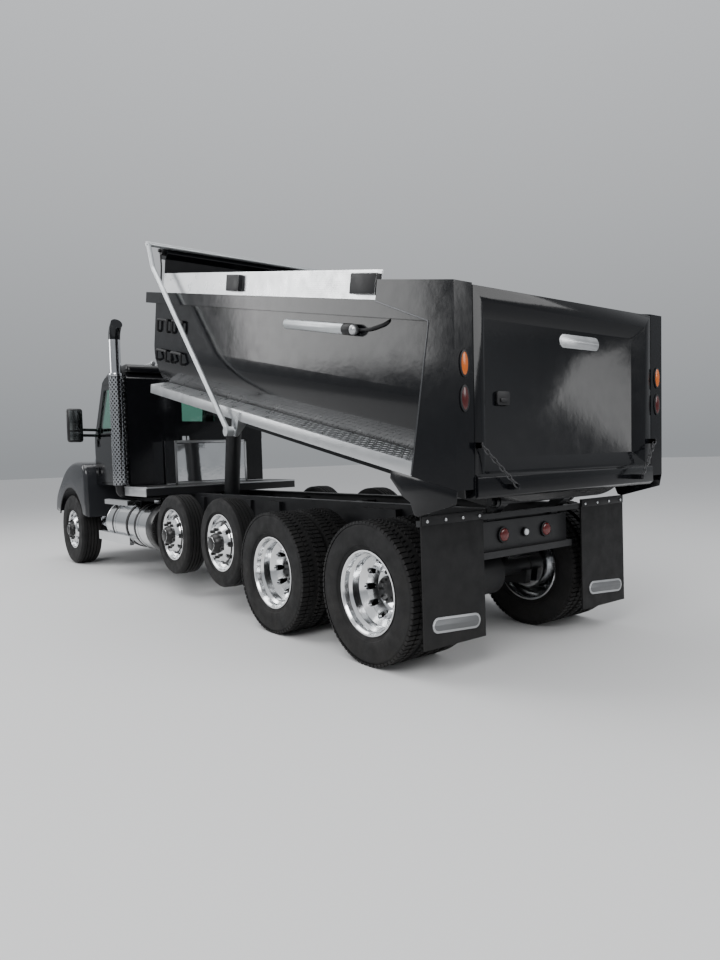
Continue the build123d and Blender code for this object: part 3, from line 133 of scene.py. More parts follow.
both = maths(road_dust, "MULTIPLY", maths(road_dust, "MULTIPLY", both, cloud), speck)
road_dust.links.new(maths(road_dust, "MULTIPLY", both, given.outputs["Amount"]), result.inputs["Mask"])

skin_bump, given, result = new_group(
    "skin_bump", [("Scale", FLOAT, 200.0), ("Height", FLOAT, 0.0004)], [("Normal", "NodeSocketVector")]
)
raise_node = skin_bump.nodes.new("ShaderNodeBump")
grain = noise_on(skin_bump, given.outputs["Scale"], 3.0)
skin_bump.links.new(maths(skin_bump, "MULTIPLY", grain, given.outputs["Height"]), raise_node.inputs["Height"])
raise_node.inputs["Distance"].default_value = 1.0
skin_bump.links.new(raise_node.outputs["Normal"], result.inputs["Normal"])


def use_group(tree, group, **values):
    """Place a node group in a material with its own values."""
    made = tree.nodes.new("ShaderNodeGroup")
    made.node_tree = group
    for title, value in values.items():
        made.inputs[title].default_value = value
    return made


def new_surface(name, values):
    """Start a material and set these inputs of its shader."""
    made = bpy.data.materials.new(name)
    made.use_nodes = True
    for title, value in values.items():
        made.node_tree.nodes["Principled BSDF"].inputs[title].default_value = value
    return made


def finish_of(
    name, colour, roughness, metallic=0.0, shine=0.5, grain=(220.0, 0.0002), vary=0.08, dust=(1.2, 0.3)
):
    """Make a surface: base colour with slow variation, grain (scale, height) and road dust (top, amount)."""
    made = new_surface(name, {"Metallic": metallic, "Specular IOR Level": shine})
    tree = made.node_tree
    shader = tree.nodes["Principled BSDF"]
    slow = noise_on(tree, 2.3, 5.0)
    tone = tree.nodes.new("ShaderNodeMix")
    tone.data_type = "RGBA"
    tone.inputs["A"].default_value = (*[c * (1 - 2 * vary) for c in colour], 1)
    tone.inputs["B"].default_value = (*[min(1.0, c * (1 + 2 * vary)) for c in colour], 1)
    tree.links.new(slow, tone.inputs["Factor"])
    shown = tone.outputs["Result"]
    rough = spread(tree, noise_on(tree, 9.0, 5.0), 0.3, 0.7, roughness * 0.8, min(1.0, roughness * 1.25))
    if dust[1]:
        dirt = use_group(tree, road_dust, Top=dust[0], Amount=dust[1])
        layer = tree.nodes.new("ShaderNodeMix")
        layer.data_type = "RGBA"
        layer.inputs["B"].default_value = DUST_COLOUR
        tree.links.new(dirt.outputs["Mask"], layer.inputs["Factor"])
        tree.links.new(shown, layer.inputs["A"])
        shown = layer.outputs["Result"]
        rough = maths(tree, "ADD", rough, maths(tree, "MULTIPLY", dirt.outputs["Mask"], 0.5))
    tree.links.new(shown, shader.inputs["Base Color"])
    tree.links.new(rough, shader.inputs["Roughness"])
    relief = use_group(tree, skin_bump, Scale=grain[0], Height=grain[1])
    tree.links.new(relief.outputs["Normal"], shader.inputs["Normal"])
    return made


def leave_edit():
    """Go back to object mode."""
    bpy.ops.object.mode_set(mode="OBJECT")


def clear():
    """Leave edit mode and deselect everything."""
    if bpy.context.object and bpy.context.object.mode != "OBJECT":
        leave_edit()
    bpy.ops.object.select_all(action="DESELECT")


def only(piece):
    """Select one piece and make it active."""
    clear()
    piece.select_set(True)
    bpy.context.view_layer.objects.active = piece


def apply_all():
    """Bake the active piece's place, turn and scale into its mesh and return it."""
    bpy.ops.object.transform_apply(location=True, rotation=True, scale=True)
    return bpy.context.object


def edit_all():
    """Enter edit mode on the active piece with all of it selected."""
    bpy.ops.object.mode_set(mode="EDIT")
    bpy.ops.mesh.select_mode(type="VERT")
    bpy.ops.mesh.select_all(action="SELECT")


def join_all(pieces):
    """Join pieces into the first."""
    clear()
    for each in pieces:
        each.select_set(True)
    bpy.context.view_layer.objects.active = pieces[0]
    if len(pieces) > 1:
        bpy.ops.object.join()
    return bpy.context.object


def done(pieces, name, body, material, smooth=35.0, turn=None):
    """Settle a piece: join its parts, turn it into place, shade it and give it its material and body."""
    piece = join_all(pieces if isinstance(pieces, list) else [pieces])
    only(piece)
    if turn:
        piece.matrix_world = turn @ piece.matrix_world
    apply_all()
    if smooth:
        bpy.ops.object.shade_smooth_by_angle(angle=math.radians(smooth))
    piece.name = name
    piece.data.materials.clear()
    piece.data.materials.append(material)
    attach(piece, body)
    return piece


def soften(piece, width, steps=2):
    """Round the sharp edges of a piece."""
    only(piece)
    edge = piece.modifiers.new("edge", "BEVEL")
    edge.width = width
    edge.segments = steps
    edge.limit_method = "ANGLE"
    edge.angle_limit = math.radians(40)
    bpy.ops.object.modifier_apply(modifier="edge")
    return piece


def face_outwards():
    """Turn the edited piece's faces outwards and leave edit mode."""
    bpy.ops.mesh.select_all(action="SELECT")
    bpy.ops.mesh.normals_make_consistent(inside=False)
    leave_edit()


def slab(x, y, z, round_off=0.003):
    """A block between the low and high value of each axis, its edges rounded."""
    clear()
    spans = (x, y, z)
    bpy.ops.mesh.primitive_cube_add(
        size=1, location=[sum(v) / 2 for v in spans], scale=[abs(v[1] - v[0]) for v in spans]
    )
    piece = apply_all()
    return soften(piece, round_off) if round_off else piece


def rod(start, end, radius, sides=20, round_off=0.0):
    """A round bar from one point to another."""
    clear()
    start, end = Vector(start), Vector(end)
    turn = (end - start).to_track_quat("Z", "Y").to_euler()
    bpy.ops.mesh.primitive_cylinder_add(
        vertices=sides, radius=radius, depth=(end - start).length, location=(start + end) / 2, rotation=turn
    )
    piece = apply_all()
    return soften(piece, round_off) if round_off else piece


def plate(outline, low, high, across="y", round_off=0.002):
    """A plate with this outline, from low to high across it."""
    clear()
    bpy.ops.mesh.primitive_circle_add(vertices=len(outline), fill_type="NGON")
    piece = bpy.context.object
    for corner, (first, second) in zip(piece.data.vertices, outline):
        corner.co = {"x": (low, first, second), "y": (first, low, second), "z": (first, second, low)}[across]
    edit_all()
    step = {"x": (high - low, 0, 0), "y": (0, high - low, 0), "z": (0, 0, high - low)}[across]
    bpy.ops.mesh.extrude_region_move(TRANSFORM_OT_translate={"value": step})
    face_outwards()
    return soften(piece, round_off) if round_off else piece


def bent(points, bend):
    """Round the corners of a route."""
    points = [Vector(p) for p in points]
    route = [points[0]]
    steps = 6
    for before, corner, after in zip(points, points[1:], points[2:]):
        start = corner + (before - corner).normalized() * bend
        end = corner + (after - corner).normalized() * bend
        for step in range(steps + 1):
            t = step / steps
            route.append(start * (1 - t) ** 2 + corner * 2 * t * (1 - t) + end * t * t)
    return route + [points[-1]]


def tube(points, radius, bend=0.04, sides=12):
    """A round tube along a route with rounded bends."""
    route = bent(points, bend)
    line = bpy.data.curves.new("route", "CURVE")
    line.dimensions = "3D"
    line.bevel_depth = radius
    line.bevel_resolution = max(1, sides // 4 - 1)
    line.use_fill_caps = True
    run = line.splines.new("POLY")
    run.points.add(len(route) - 1)
    for place, point in zip(run.points, route):
        place.co = (*point, 1)
    piece = bpy.data.objects.new("route", line)
    bpy.context.collection.objects.link(piece)
    only(piece)
    bpy.ops.object.convert(target="MESH")
    edit_all()
    bpy.ops.mesh.remove_doubles(threshold=0.00001)
    face_outwards()
    return bpy.context.object


def span(side, near, far):
    """Span from near to far of the middle on one side, low value first."""
    return sorted((side * near, side * far))


def in_row(piece, count, step, merge=False):
    """Repeat a piece by a fixed step."""
    only(piece)
    row = piece.modifiers.new("row", "ARRAY")
    row.count = count
    row.use_relative_offset = False
    row.use_constant_offset = True
    row.constant_offset_displace = step
    row.use_merge_vertices = merge
    bpy.ops.object.modifier_apply(modifier="row")
    return piece


def thicken(piece, wall):
    """Give an open skin its wall, laid on its inner side."""
    skin = piece.modifiers.new("skin", "SOLIDIFY")
    skin.thickness = wall
    skin.offset = -1
    bpy.ops.object.modifier_apply(modifier="skin")


def dress(material, *names):
    """Give CAD nodes a material of this finish."""
    for name in names:
        slots = nodes[name].data.materials
        slots.clear()
        slots.append(material)


chassis_paint = finish_of("chassis_paint", (0.012, 0.0125, 0.014), 0.42, shine=0.35, dust=(1.1, 0.12))
dress(chassis_paint, "frame", "drive_axles", "pusher_axles", "front_axle", "rear_panel")
dress(chassis_paint, "knuckle_left", "knuckle_right")
engine_cast = finish_of(
    "engine_cast", (0.11, 0.11, 0.115), 0.6, metallic=0.6, grain=(120.0, 0.001), dust=(1.4, 0.3)
)
dress(engine_cast, "engine")

# Tyres: black rubber carcasses with moulded rings on the walls. The drive tyres have blocks
# with open shoulders, the others ribs. They replace the plain solids of the same form.


def lathe(profile, centre, segments, closed=False):
    """Turn (along, radius) points about the crosswise axis through the centre."""
    clear()
    along, radius = profile[0]
    x, y, z = centre
    bpy.ops.mesh.primitive_circle_add(
        vertices=segments, radius=radius, location=(x, y + along, z), rotation=(math.pi / 2, 0, 0)
    )
    piece = bpy.context.object
    edit_all()
    for step, wide in profile[1:]:
        bpy.ops.mesh.extrude_region_move(TRANSFORM_OT_translate={"value": (0, step - along, 0)})
        grow = wide / radius
        bpy.ops.transform.resize(value=(grow, 1, grow), center_override=(x, y + step, z))
        along, radius = step, wide
    bpy.ops.mesh.select_all(action="DESELECT")
    bpy.ops.mesh.select_non_manifold(extend=False, use_wire=True, use_boundary=True, use_multi_face=False)
    if closed:
        bpy.ops.mesh.bridge_edge_loops()
    else:
        bpy.ops.mesh.fill_holes(sides=0)
    face_outwards()
    return piece


def ring_of(count, centre):
    """Repeat all of the active piece round the crosswise axis through the centre."""
    edit_all()
    turn = 2 * math.pi * (count - 1) / count
    bpy.ops.mesh.spin(steps=count - 1, dupli=True, angle=turn, center=centre, axis=(0, 1, 0))
    leave_edit()


def pick(piece, test):
    """Select the faces that pass a test and enter edit mode."""
    only(piece)
    bpy.ops.object.mode_set(mode="EDIT")
    bpy.ops.mesh.select_mode(type="FACE")
    bpy.ops.mesh.select_all(action="DESELECT")
    leave_edit()
    for face in piece.data.polygons:
        face.select = test(face)
    bpy.ops.object.mode_set(mode="EDIT")


def tread_block(centre, out, size, skew):
    """Add one tread block at the top of the tyre, tapered to its face and turned by the skew."""
    clear()
    x, y, z = centre
    bpy.ops.mesh.primitive_cube_add(size=1, location=(x, y, z + out - size[2] / 2), scale=size)
    piece = bpy.context.object
    piece.rotation_euler.z = math.radians(skew)
    apply_all()
    pick(piece, lambda face: face.normal.z > 0.9)
    bpy.ops.transform.resize(value=(0.86, 0.9, 1), center_override=(x, y, z + out))
    pick(piece, lambda face: face.normal.z < -0.9)
    bpy.ops.mesh.delete(type="FACE")
    leave_edit()
    return piece


def carcass(half, outer, seat, rim_half, groove):
    """List the outline of one tyre, with moulded rings on its walls and the groove's floor."""
    wall = [
        (0.46 * 2 * half, outer - 0.15 * half),
        (0.485 * 2 * half, outer - 0.034),
        (0.489 * 2 * half, outer - 0.045),
        (0.487 * 2 * half, outer - 0.052),
        (0.992 * half, outer - 0.085),
        (1.0 * half, (outer + seat) / 2 - 0.01),
        (0.985 * half, (outer + seat) / 2 - 0.05),
        (rim_half + 0.028, seat + 0.05),
        (rim_half + 0.020, seat + 0.046),
        (rim_half + 0.012, seat + 0.028),
        (rim_half, seat + 0.014),
        (rim_half, seat),
    ]
    floor = outer - groove
    crown = [(0.36 * 2 * half, outer - 0.003)] if groove < 0.004 else [(0.40 * 2 * half, floor)]
    right = crown + wall
    return [(-t, r) for t, r in reversed(right)] + right


rubber = finish_of(
    "tyre_rubber", (0.0075, 0.0075, 0.008), 0.7, shine=0.3, grain=(350.0, 0.0009), vary=0.15, dust=(1.1, 0.12)
)
tread_depth = 0.016
# name, distance from the middle, width, blocks round the tyre, their length and skew in degrees
drive_rows = (
    ("shoulder", 0.107, 0.068, 78, 0.037, 4),
    ("inner", 0.045, 0.042, 78, 0.031, 20),
)
rib_rows = ((-0.093, 0.046), (-0.043, 0.036), (0.0, 0.034), (0.043, 0.036), (0.093, 0.046))
rows_half = 0.145  # half width of the tyre that these rows belong to
crown_fall, crown_half = 0.0035, 0.09


def block_tyre(centre, half, outer, seat, rim_half):
    """Build one drive tyre: carcass and four rows of blocks."""
    parts = [lathe(carcass(half, outer, seat, rim_half, tread_depth), centre, 96, closed=True)]
    for title, apart, wide, count, long, skew in drive_rows:
        for side in (-1, 1):
            place = (centre[0], centre[1] + side * apart, centre[2])
            out = outer - (0.003 if title == "shoulder" else 0.0008)
            parts.append(tread_block(place, out, (long, wide, tread_depth + 0.006), side * skew))
            if side > 0:
                turn_by_half_step(parts[-1], centre, count)
            ring_of(count, centre)
    return join_all(parts)


def turn_by_half_step(piece, centre, count):
    """Stagger a row by half of its pitch."""
    edit_all()
    bpy.ops.transform.rotate(value=math.pi / count, orient_axis="Y", center_override=centre)
    leave_edit()


def rib_tyre(centre, half, outer, seat, rim_half):
    """Build one ribbed tyre: the grooves between its ribs are part of its outline."""
    side = carcass(half, outer, seat, rim_half, 0.0)
    walls = len(side) // 2
    left, right = side[:walls - 1], side[walls + 1:]
    crown = []
    for place, wide in rib_rows:
        scale = half / rows_half
        low, high = (place - wide / 2) * scale, (place + wide / 2) * scale
        drop = outer - crown_fall * abs(place) / crown_half
        floor = drop - tread_depth
        crown += [(low + 0.001, floor), (low + 0.0025, drop), (high - 0.0025, drop), (high - 0.001, floor)]
    return lathe(left + crown[1:-1] + right, centre, 96, closed=True)


wheel_table = (
    ("drive_rear", "dual"),
    ("drive_front", "dual"),
    ("pusher_rear", "single"),
    ("pusher_front", "single"),
    ("steer", "single"),
)
dual_spacing = 0.335
# half width, outer radius, bead radius and half of the rim's width of each kind
sizes = {
    "drive": (0.285 / 2, 0.545, 0.311, 0.105),
    "pusher": (0.255 / 2, 0.465, 0.286, 0.097),
    "steer": (0.315 / 2, 0.540, 0.286, 0.115),
}
for title, kind in wheel_table:
    half, outer, seat, rim_half = sizes[title.split("_")[0]]
    for hand, side in hands:
        body = f"{title}_wheel_{hand}"
        centre = hinge_at[f"{body}_spin"]
        if kind == "dual":
            pair = []
            for shift in (-dual_spacing / 2, dual_spacing / 2):
                place = (centre.x, centre.y + shift, centre.z)
                pair.append(block_tyre(place, half, outer, seat, rim_half))
            tyre = join_all(pair)
        else:
            tyre = rib_tyre(tuple(centre), half, outer, seat, rim_half)
        done(tyre, f"tyre_{title}_{hand}", body, rubber)
        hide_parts(f"{title}_tyre_{hand}")

# Wheels: polished forged aluminium discs with round hand holes, on black cast hubs. Each has ten
# black nuts on a circle, and the driven hubs have an axle flange with small studs.
polished = finish_of(
    "polished_wheel", (0.83, 0.84, 0.85), 0.13, metallic=1.0, grain=(60.0, 0.0002), dust=(1.1, 0.25),
)
hub_black = finish_of("hub_black", (0.006, 0.006, 0.0065), 0.3, shine=0.4, dust=(1.1, 0.08))
bolt_bright = finish_of("bolt_bright", (0.55, 0.56, 0.57), 0.25, metallic=1.0, dust=(1.1, 0.2))
dress(polished, *[n for n in nodes if "_wheel_" in n])
disc_face = {"dual": 0.0, "single": 0.150}
# both ends of the brake drum, measured from the disc, and its radius
drum_spans = {"dual": (-0.17, -0.035, 0.2), "single": (-0.09, 0.1, 0.225)}
nut_circle, flange_face, stud_circle = 0.1425, 0.0965, 0.078


def nut_ring(centre, side, along, radius, count, size):
    """Ring of hexagonal nuts with rounded ends on the disc's face."""
    clear()
    x, y, z = centre
    bpy.ops.mesh.primitive_cylinder_add(
        vertices=6, radius=size, depth=size * 1.3, rotation=(math.pi / 2, 0, 0),
        location=(x, y + side * (along + size * 0.65), z + radius),
    )
    bpy.ops.object.transform_apply(location=True, rotation=True, scale=True)
    edit_all()
    bpy.ops.mesh.bevel(offset=size * 0.14, segments=1)
    leave_edit()
    ring_of(count, centre)
    return bpy.context.object


for title, kind in wheel_table:
    for hand, side in hands:
        body = f"{title}_wheel_{hand}"
        centre = tuple(hinge_at[f"{body}_spin"])
        if kind == "dual":
            shape = [(0.0, 0.109), (0.078, 0.104), (0.084, 0.098), (flange_face, 0.094)]
            shape += [(flange_face, 0.05), (0.099, 0.046)]
        else:
            shape = [(0.150, 0.108), (0.187, 0.096), (0.2125, 0.073), (0.2165, 0.066)]
        cover = lathe([(side * t, r) for t, r in shape], centre, 48)
        near, far, radius = drum_spans[kind]
        x, y, z = centre
        drum = rod((x, y + side * near, z), (x, y + side * far, z), radius, 48, 0.008)
        done([cover, drum], f"hub_{title}_{hand}", body, hub_black)
        nuts = nut_ring(centre, side, disc_face[kind], nut_circle, 10, 0.019)
        if kind == "dual":
            nuts = join_all([nuts, nut_ring(centre, side, flange_face, stud_circle, 8, 0.010)])
        done(nuts, f"nuts_{title}_{hand}", body, hub_black, 30)

# Bed: a half-round body of welded steel plate, sprayed gloss black. Thin skirts close the lower
# rear corners, bent round bar makes the rungs, and a folded flange edges each rear post.
bed_lean = math.radians(-12)
bed_turn = Matrix.Translation(hinge_at["bed_lift"]) @ Matrix.Rotation(bed_lean, 4, "Y")
bed_gloss = finish_of(
    "bed_gloss", (0.0035, 0.0038, 0.0048), 0.13, shine=0.3, grain=(5.0, 0.0012), dust=(1.5, 0.05)
)
satin_black = finish_of("satin_black", (0.008, 0.008, 0.009), 0.45, shine=0.3, dust=(1.0, 0.06))
dress(bed_gloss, "bed_shell", "cab_shield")
skirt_view = [
    (0.308, 0.146), (0.163, 0.051), (0.076, 0.029), (0.022, -0.048), (-0.019, -0.051), (-0.345, 0.112),
    (-0.345, 0.205), (0.308, 0.205),
]
skirts = [plate(skirt_view, side * 1.209, side * 1.219) for side in (1, -1)]
done(skirts, "bed_skirts", "bed", bed_gloss, turn=bed_turn)
flange_run = [(0.092, 0.215), (0.092, 1.238), (0.665, 1.352)]
flanges = [tube([(a, side * 1.22, b) for a, b in flange_run], 0.006, 0.02, 8) for side in (1, -1)]
flange_edge = finish_of("flange_edge", (0.06, 0.062, 0.066), 0.2, metallic=0.6, dust=(1.0, 0.0))
done(flanges, "post_flanges", "bed", flange_edge, turn=bed_turn)
rungs = []
for low, high, foot in ((0.933, 1.062, 1.14), (0.602, 0.716, 1.115)):
    for start, end in ((4.03, 4.3), (4.44, 4.71)):
        route = [(start, foot), (start, 1.178), (start, 1.178), (end, 1.178), (end, 1.178), (end, foot)]
        heights = (low, low, high, high, low, low)
        rungs.append(tube([(a, y, b) for (a, y), b in zip(route, heights)], 0.015, 0.022, 12))
done(rungs, "side_rungs", "bed", satin_black, turn=bed_turn)

# Tailgate: a pressed panel sunk into a bevelled frame, with a heavy lower beam. It hangs on two
# top pins and has a recessed latch, a plain badge and brackets for the spreader chains.
gate_lean = math.atan2(0.203, 1.034)
gate_turn = bed_turn @ Matrix.Translation((-0.141, 0, 1.24)) @ Matrix.Rotation(gate_lean, 4, "Y")
panel = slab((0, 0.1), (-1.05, 1.05), (-1.12, 0.255), 0)
pick(panel, lambda face: face.normal.x < -0.9)
bpy.ops.mesh.inset(thickness=0.09)
bpy.ops.transform.translate(value=(0, 0, 0.0375))
bpy.ops.transform.resize(value=(1, 1, 0.9121), center_override=(0, 0, -0.395))
bpy.ops.mesh.inset(thickness=0.085, depth=-0.068)
leave_edit()
gate_parts = [soften(panel, 0.005)]
beam = [(0.002, -0.955), (-0.022, -0.98), (-0.024, -1.1), (0.002, -1.118)]
gate_parts.append(plate(beam, -1.046, 1.046))
for side in (1, -1):
    gate_parts.append(rod((0.085, side * 1.045, 0.19), (0.085, side * 1.114, 0.19), 0.02, 24))
    gate_parts.append(slab((-0.112, -0.01), span(side, 0.742, 0.758), (-1.07, -1.03)))
    gate_parts.append(slab((-0.057, 0.0), span(side, 1.027, 1.043), (-0.79, -0.75)))
gate = done(gate_parts, "gate_panel", "tailgate", bed_gloss, turn=gate_turn)
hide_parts("tailgate")


def pill(centre, size, rise, count=8):
    """Outline of a plate with round ends."""
    y, z = centre
    wide, high = size
    radius = min(rise, high / 2, wide / 2)
    corners = ((1, 1, 0), (-1, 1, 90), (-1, -1, 180), (1, -1, 270))
    outline = []
    for over, up, start in corners:
        for step in range(count):
            angle = math.radians(start + 90 * step / (count - 1))
            outline.append((
                y + over * (wide / 2 - radius) + radius * math.cos(angle),
                z + up * (high / 2 - radius) + radius * math.sin(angle),
            ))
    return outline


badge_silver = finish_of("badge_silver", (0.5, 0.51, 0.52), 0.35, metallic=0.9, dust=(1.0, 0.1))
badge = [plate(pill((-0.175, -0.02), (0.49, 0.1), 0.05), 0.062, 0.069, "x")]
badge.append(plate(pill((-0.175, -0.02), (0.46, 0.07), 0.035), 0.0595, 0.063, "x", 0.001))
done(badge, "gate_badge", "tailgate", badge_silver, turn=gate_turn)
latch = [plate(pill((0.705, -0.455), (0.13, 0.095), 0.02), 0.05, 0.069, "x", 0.004)]
latch.append(plate(pill((0.705, -0.47), (0.075, 0.03), 0.012), 0.04, 0.052, "x", 0.004))
done(latch, "gate_latch", "tailgate", satin_black, turn=gate_turn)

# Spreader chains: short welded steel chains that limit the gate, dull and dark. Every other link
# is turned by a quarter, and each chain runs from an upper eye down to a lower bracket.
chain_steel = finish_of("chain_steel", (0.07, 0.07, 0.073), 0.5, metallic=0.8, dust=(1.0, 0.0))
link_count, link_stretch = 10, 1.95
links = []
for side in (1, -1):
    top, low = Vector((-0.045, side * 1.035, -0.77)), Vector((-0.1, side * 0.75, -1.05))
    way = low - top
    for step in range(link_count):
        middle = top + way * (step + 0.5) / link_count
        clear()
        bpy.ops.mesh.primitive_torus_add(
            major_segments=14, minor_segments=6, major_radius=0.0125, minor_radius=0.0045, location=(0, 0, 0)
        )
        link = bpy.context.object
        link.matrix_world = (
            Matrix.Translation(middle) @ way.to_track_quat("X", "Z").to_matrix().to_4x4()
            @ Matrix.Rotation(math.radians(90 * (step % 2)), 4, "X")
            @ Matrix.Diagonal((link_stretch, 1.0, 1.0, 1.0))
        )
        links.append(apply_all())
    links.append(slab((-0.057, 0.0), span(side, 1.027, 1.043), (-0.79, -0.75)))
chains = done(links, "chain_links", "tailgate", chain_steel, turn=gate_turn)
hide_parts("gate_chains")

# Post lamps: oval moulded lenses pressed into black rubber grommets on each rear post, an amber
# one over a dark red one.
lens_red = finish_of("lens_red", (0.1, 0.003, 0.003), 0.12, shine=0.6, dust=(0.5, 0.0))
lens_dark_red = finish_of("lens_dark_red", (0.05, 0.004, 0.004), 0.14, shine=0.5, dust=(0.5, 0.0))
lens_amber = finish_of("lens_amber", (0.42, 0.09, 0.008), 0.14, shine=0.5, dust=(0.5, 0.0))


def oval(y, z, wide, high, count=32):
    """Outline of an oval."""
    turns = [2 * math.pi * step / count for step in range(count)]
    return [(y + wide * math.cos(t), z + high * math.sin(t)) for t in turns]


def dome(centre, size):
    """A bulged lens, its half sizes given."""
    clear()
    bpy.ops.mesh.primitive_uv_sphere_add(segments=28, ring_count=14, radius=1, location=centre, scale=size)
    return apply_all()


grommets, ambers, reds = [], [], []
for side in (1, -1):
    for z, group in ((-0.25, ambers), (-0.47, reds)):
        grommets.append(plate(oval(side * 1.14, z, 0.041, 0.086), -0.009, 0.001, "x"))
        group.append(dome((-0.006, side * 1.14, z), (0.011, 0.031, 0.075)))
done(grommets, "lamp_grommets", "bed", satin_black, turn=gate_turn)
amber = done(ambers, "post_lamps_amber", "bed", lens_amber, 60, turn=gate_turn)
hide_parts("bed_lamps")
done(reds, "post_lamps_red", "bed", lens_dark_red, 60, turn=gate_turn)

# Side boards: ribbed aluminium sheet that stands on the rails. Folded steel stake pockets,
# painted black, clasp it from outside.
plate_bright = finish_of(
    "tread_plate", (0.62, 0.63, 0.64), 0.3, metallic=1.0, grain=(180.0, 0.0004), dust=(1.0, 0.1)
)
dress(plate_bright, "side_boards", "running_boards")
rib_height = 0.008
ribs, pockets = [], []
for side in (1, -1):
    for step in range(13):
        b = 1.366 + 2 * rib_height * step
        ribs.append(slab((0.702, 4.638), span(side, 1.1535, 1.157), (b, b + rib_height), 0))
    for a, length in ((0.71, 0.305), (2.765, 0.245)):
        shell = ((a - 0.002, a + length + 0.002), span(side, 1.153, 1.2015), (1.398, 1.549))
        pockets.append(slab(*shell, 0.006))
done(ribs, "board_ribs", "bed", plate_bright, 0, turn=bed_turn)
done(pockets, "stake_pockets", "bed", satin_black, turn=bed_turn)

# Running boards: aluminium tread plate with raised lugs, folded down to a bright lip along the
# bed's lower edge.
lug_wide, lug_fall = 0.2155, -0.035
lug_tilt = math.atan2(lug_fall, lug_wide)


def lug_row(a, y, b, lean, side, turn, count=57, pitch=0.08):
    """Repeat one raised lug along the board."""
    clear()
    bpy.ops.mesh.primitive_cylinder_add(vertices=6, radius=0.5, depth=1, location=(0, 0, 0))
    lug = bpy.context.object
    lug.matrix_world = (
        Matrix.Translation((a, side * y, b)) @ Matrix.Rotation(side * lean, 4, "X")
        @ Matrix.Rotation(math.radians(turn), 4, "Z") @ Matrix.Diagonal((0.034, 0.010, 0.005, 1.0))
    )
    return in_row(apply_all(), count, (pitch, 0, 0))


lugs, lips = [], []
for side in (1, -1):
    for row in range(5):
        share = (row + 0.5) / 5
        y, b = 1.0005 + lug_wide * share, 0.340 + lug_fall * share
        lugs.append(lug_row(0.13 + 0.04 * (row % 2), y, b, lug_tilt, side, 45))
        lugs.append(lug_row(0.17 - 0.04 * (row % 2), y, b, lug_tilt, side, -45))
    lips.append(slab((0.1, 4.749), span(side, 1.2155, 1.219), (0.206, 0.303), 0.001))
done(lugs, "tread_lugs", "bed", plate_bright, 0, turn=bed_turn)
done(lips, "board_lips", "bed", badge_silver, turn=bed_turn)

# Tool holder: a dull alloy tube on two saddles, welded to the bed's left side. It has a dark
# collar, a bright rounded end and a bent bar behind it.
tube_alloy = finish_of("tube_alloy", (0.5, 0.52, 0.53), 0.42, metallic=0.85, dust=(1.0, 0.08))
holder = [rod((1.03, 1.195, 1.14), (1.86, 1.195, 1.14), 0.042, 40, 0.003)]
holder += [slab((a - 0.025, a + 0.025), (1.145, 1.172), (1.1, 1.18)) for a in (1.1, 1.79)]
tool_tube = done(holder, "tool_tube", "bed", tube_alloy, turn=bed_turn)
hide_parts("tool_holder")
collar = [rod((0.93, 1.195, 1.14), (1.031, 1.195, 1.14), 0.0445, 40, 0.004)]
bar_run = [(0.98, 1.16, 1.14), (0.78, 1.165, 1.15), (0.6, 1.16, 1.2), (0.568, 1.148, 1.226)]
collar.append(tube(bar_run, 0.012, 0.05))
done(collar, "tool_tube_collar", "bed", satin_black, turn=bed_turn)
end_cap = dome((0.93, 1.195, 1.14), (0.05, 0.0405, 0.0405))
done([end_cap], "tool_tube_end", "bed", badge_silver, 60, turn=bed_turn)

# Tarp gear: a bow of dull aluminium tube that pivots on the bed's sides. The roller's end plates
# and their bent tension bars sit at the shield.
dress(tube_alloy, "tarp_bow")
roller = []
for side in (1, -1):
    roller.append(rod((4.9, side * 1.058, 1.84), (4.9, side * 1.1, 1.84), 0.05, 32, 0.004))
    roller.append(rod((4.9, side * 1.098, 1.84), (4.9, side * 1.13, 1.84), 0.02, 20, 0.003))
    tension = [(4.9, side * 1.1, 1.79), (4.86, side * 1.1, 1.66), (4.88, side * 1.09, 1.5)]
    roller.append(tube(tension, 0.01, 0.04))
done(roller, "tarp_roller_ends", "bed", satin_black, turn=bed_turn)

# Hoist: a telescopic cylinder. Its barrel is painted steel on trunnions in the frame, and its
# stages are hard-chromed.
dress(chassis_paint, "hoist_barrel")
hoist_chrome = finish_of("hoist_chrome", (0.35, 0.36, 0.38), 0.12, metallic=1.0, dust=(1.0, 0.05))
dress(hoist_chrome, "hoist_stage_1", "hoist_stage_2", "hoist_stage_3")

# Deck: steel plate painted black over the rails behind the cab. Its folded edge is bright, and
# a brushed guard is riveted to its left end.
dress(chassis_paint, "deck")
edges = [slab((0.823, 0.83), (-1.1, 1.1), (1.234, 1.2515), 0.001)]
edges += [slab((0.824, 1.634), span(side, 1.096, 1.103), (1.234, 1.2515), 0.001) for side in (1, -1)]
edges.append(slab((0.84, 1.6), (1.1005, 1.106), (1.13, 1.232), 0.002))
done(edges, "deck_edges", "chassis", badge_silver)

# Hydraulic oil tank: a welded box of polished sheet that stands on the deck. Flat strips frame
# its front and rear, and a filler neck stands on top.
mirror_sheet = finish_of(
    "mirror_sheet", (0.8, 0.81, 0.82), 0.06, metallic=1.0, grain=(3.0, 0.0012), dust=(1.0, 0.04)
)
dress(mirror_sheet, "hydraulic_tank")


def picture_frame(x, y, z, wide, deep):
    """Four flat strips round a rectangle that faces along the truck."""
    x_span = sorted((x, x + deep))
    strips = ((y, (z[0], z[0] + wide)), (y, (z[1] - wide, z[1])))
    strips += (((y[0], y[0] + wide), z), ((y[1] - wide, y[1]), z))
    return [slab(x_span, y_span, z_span, 0.001) for y_span, z_span in strips]


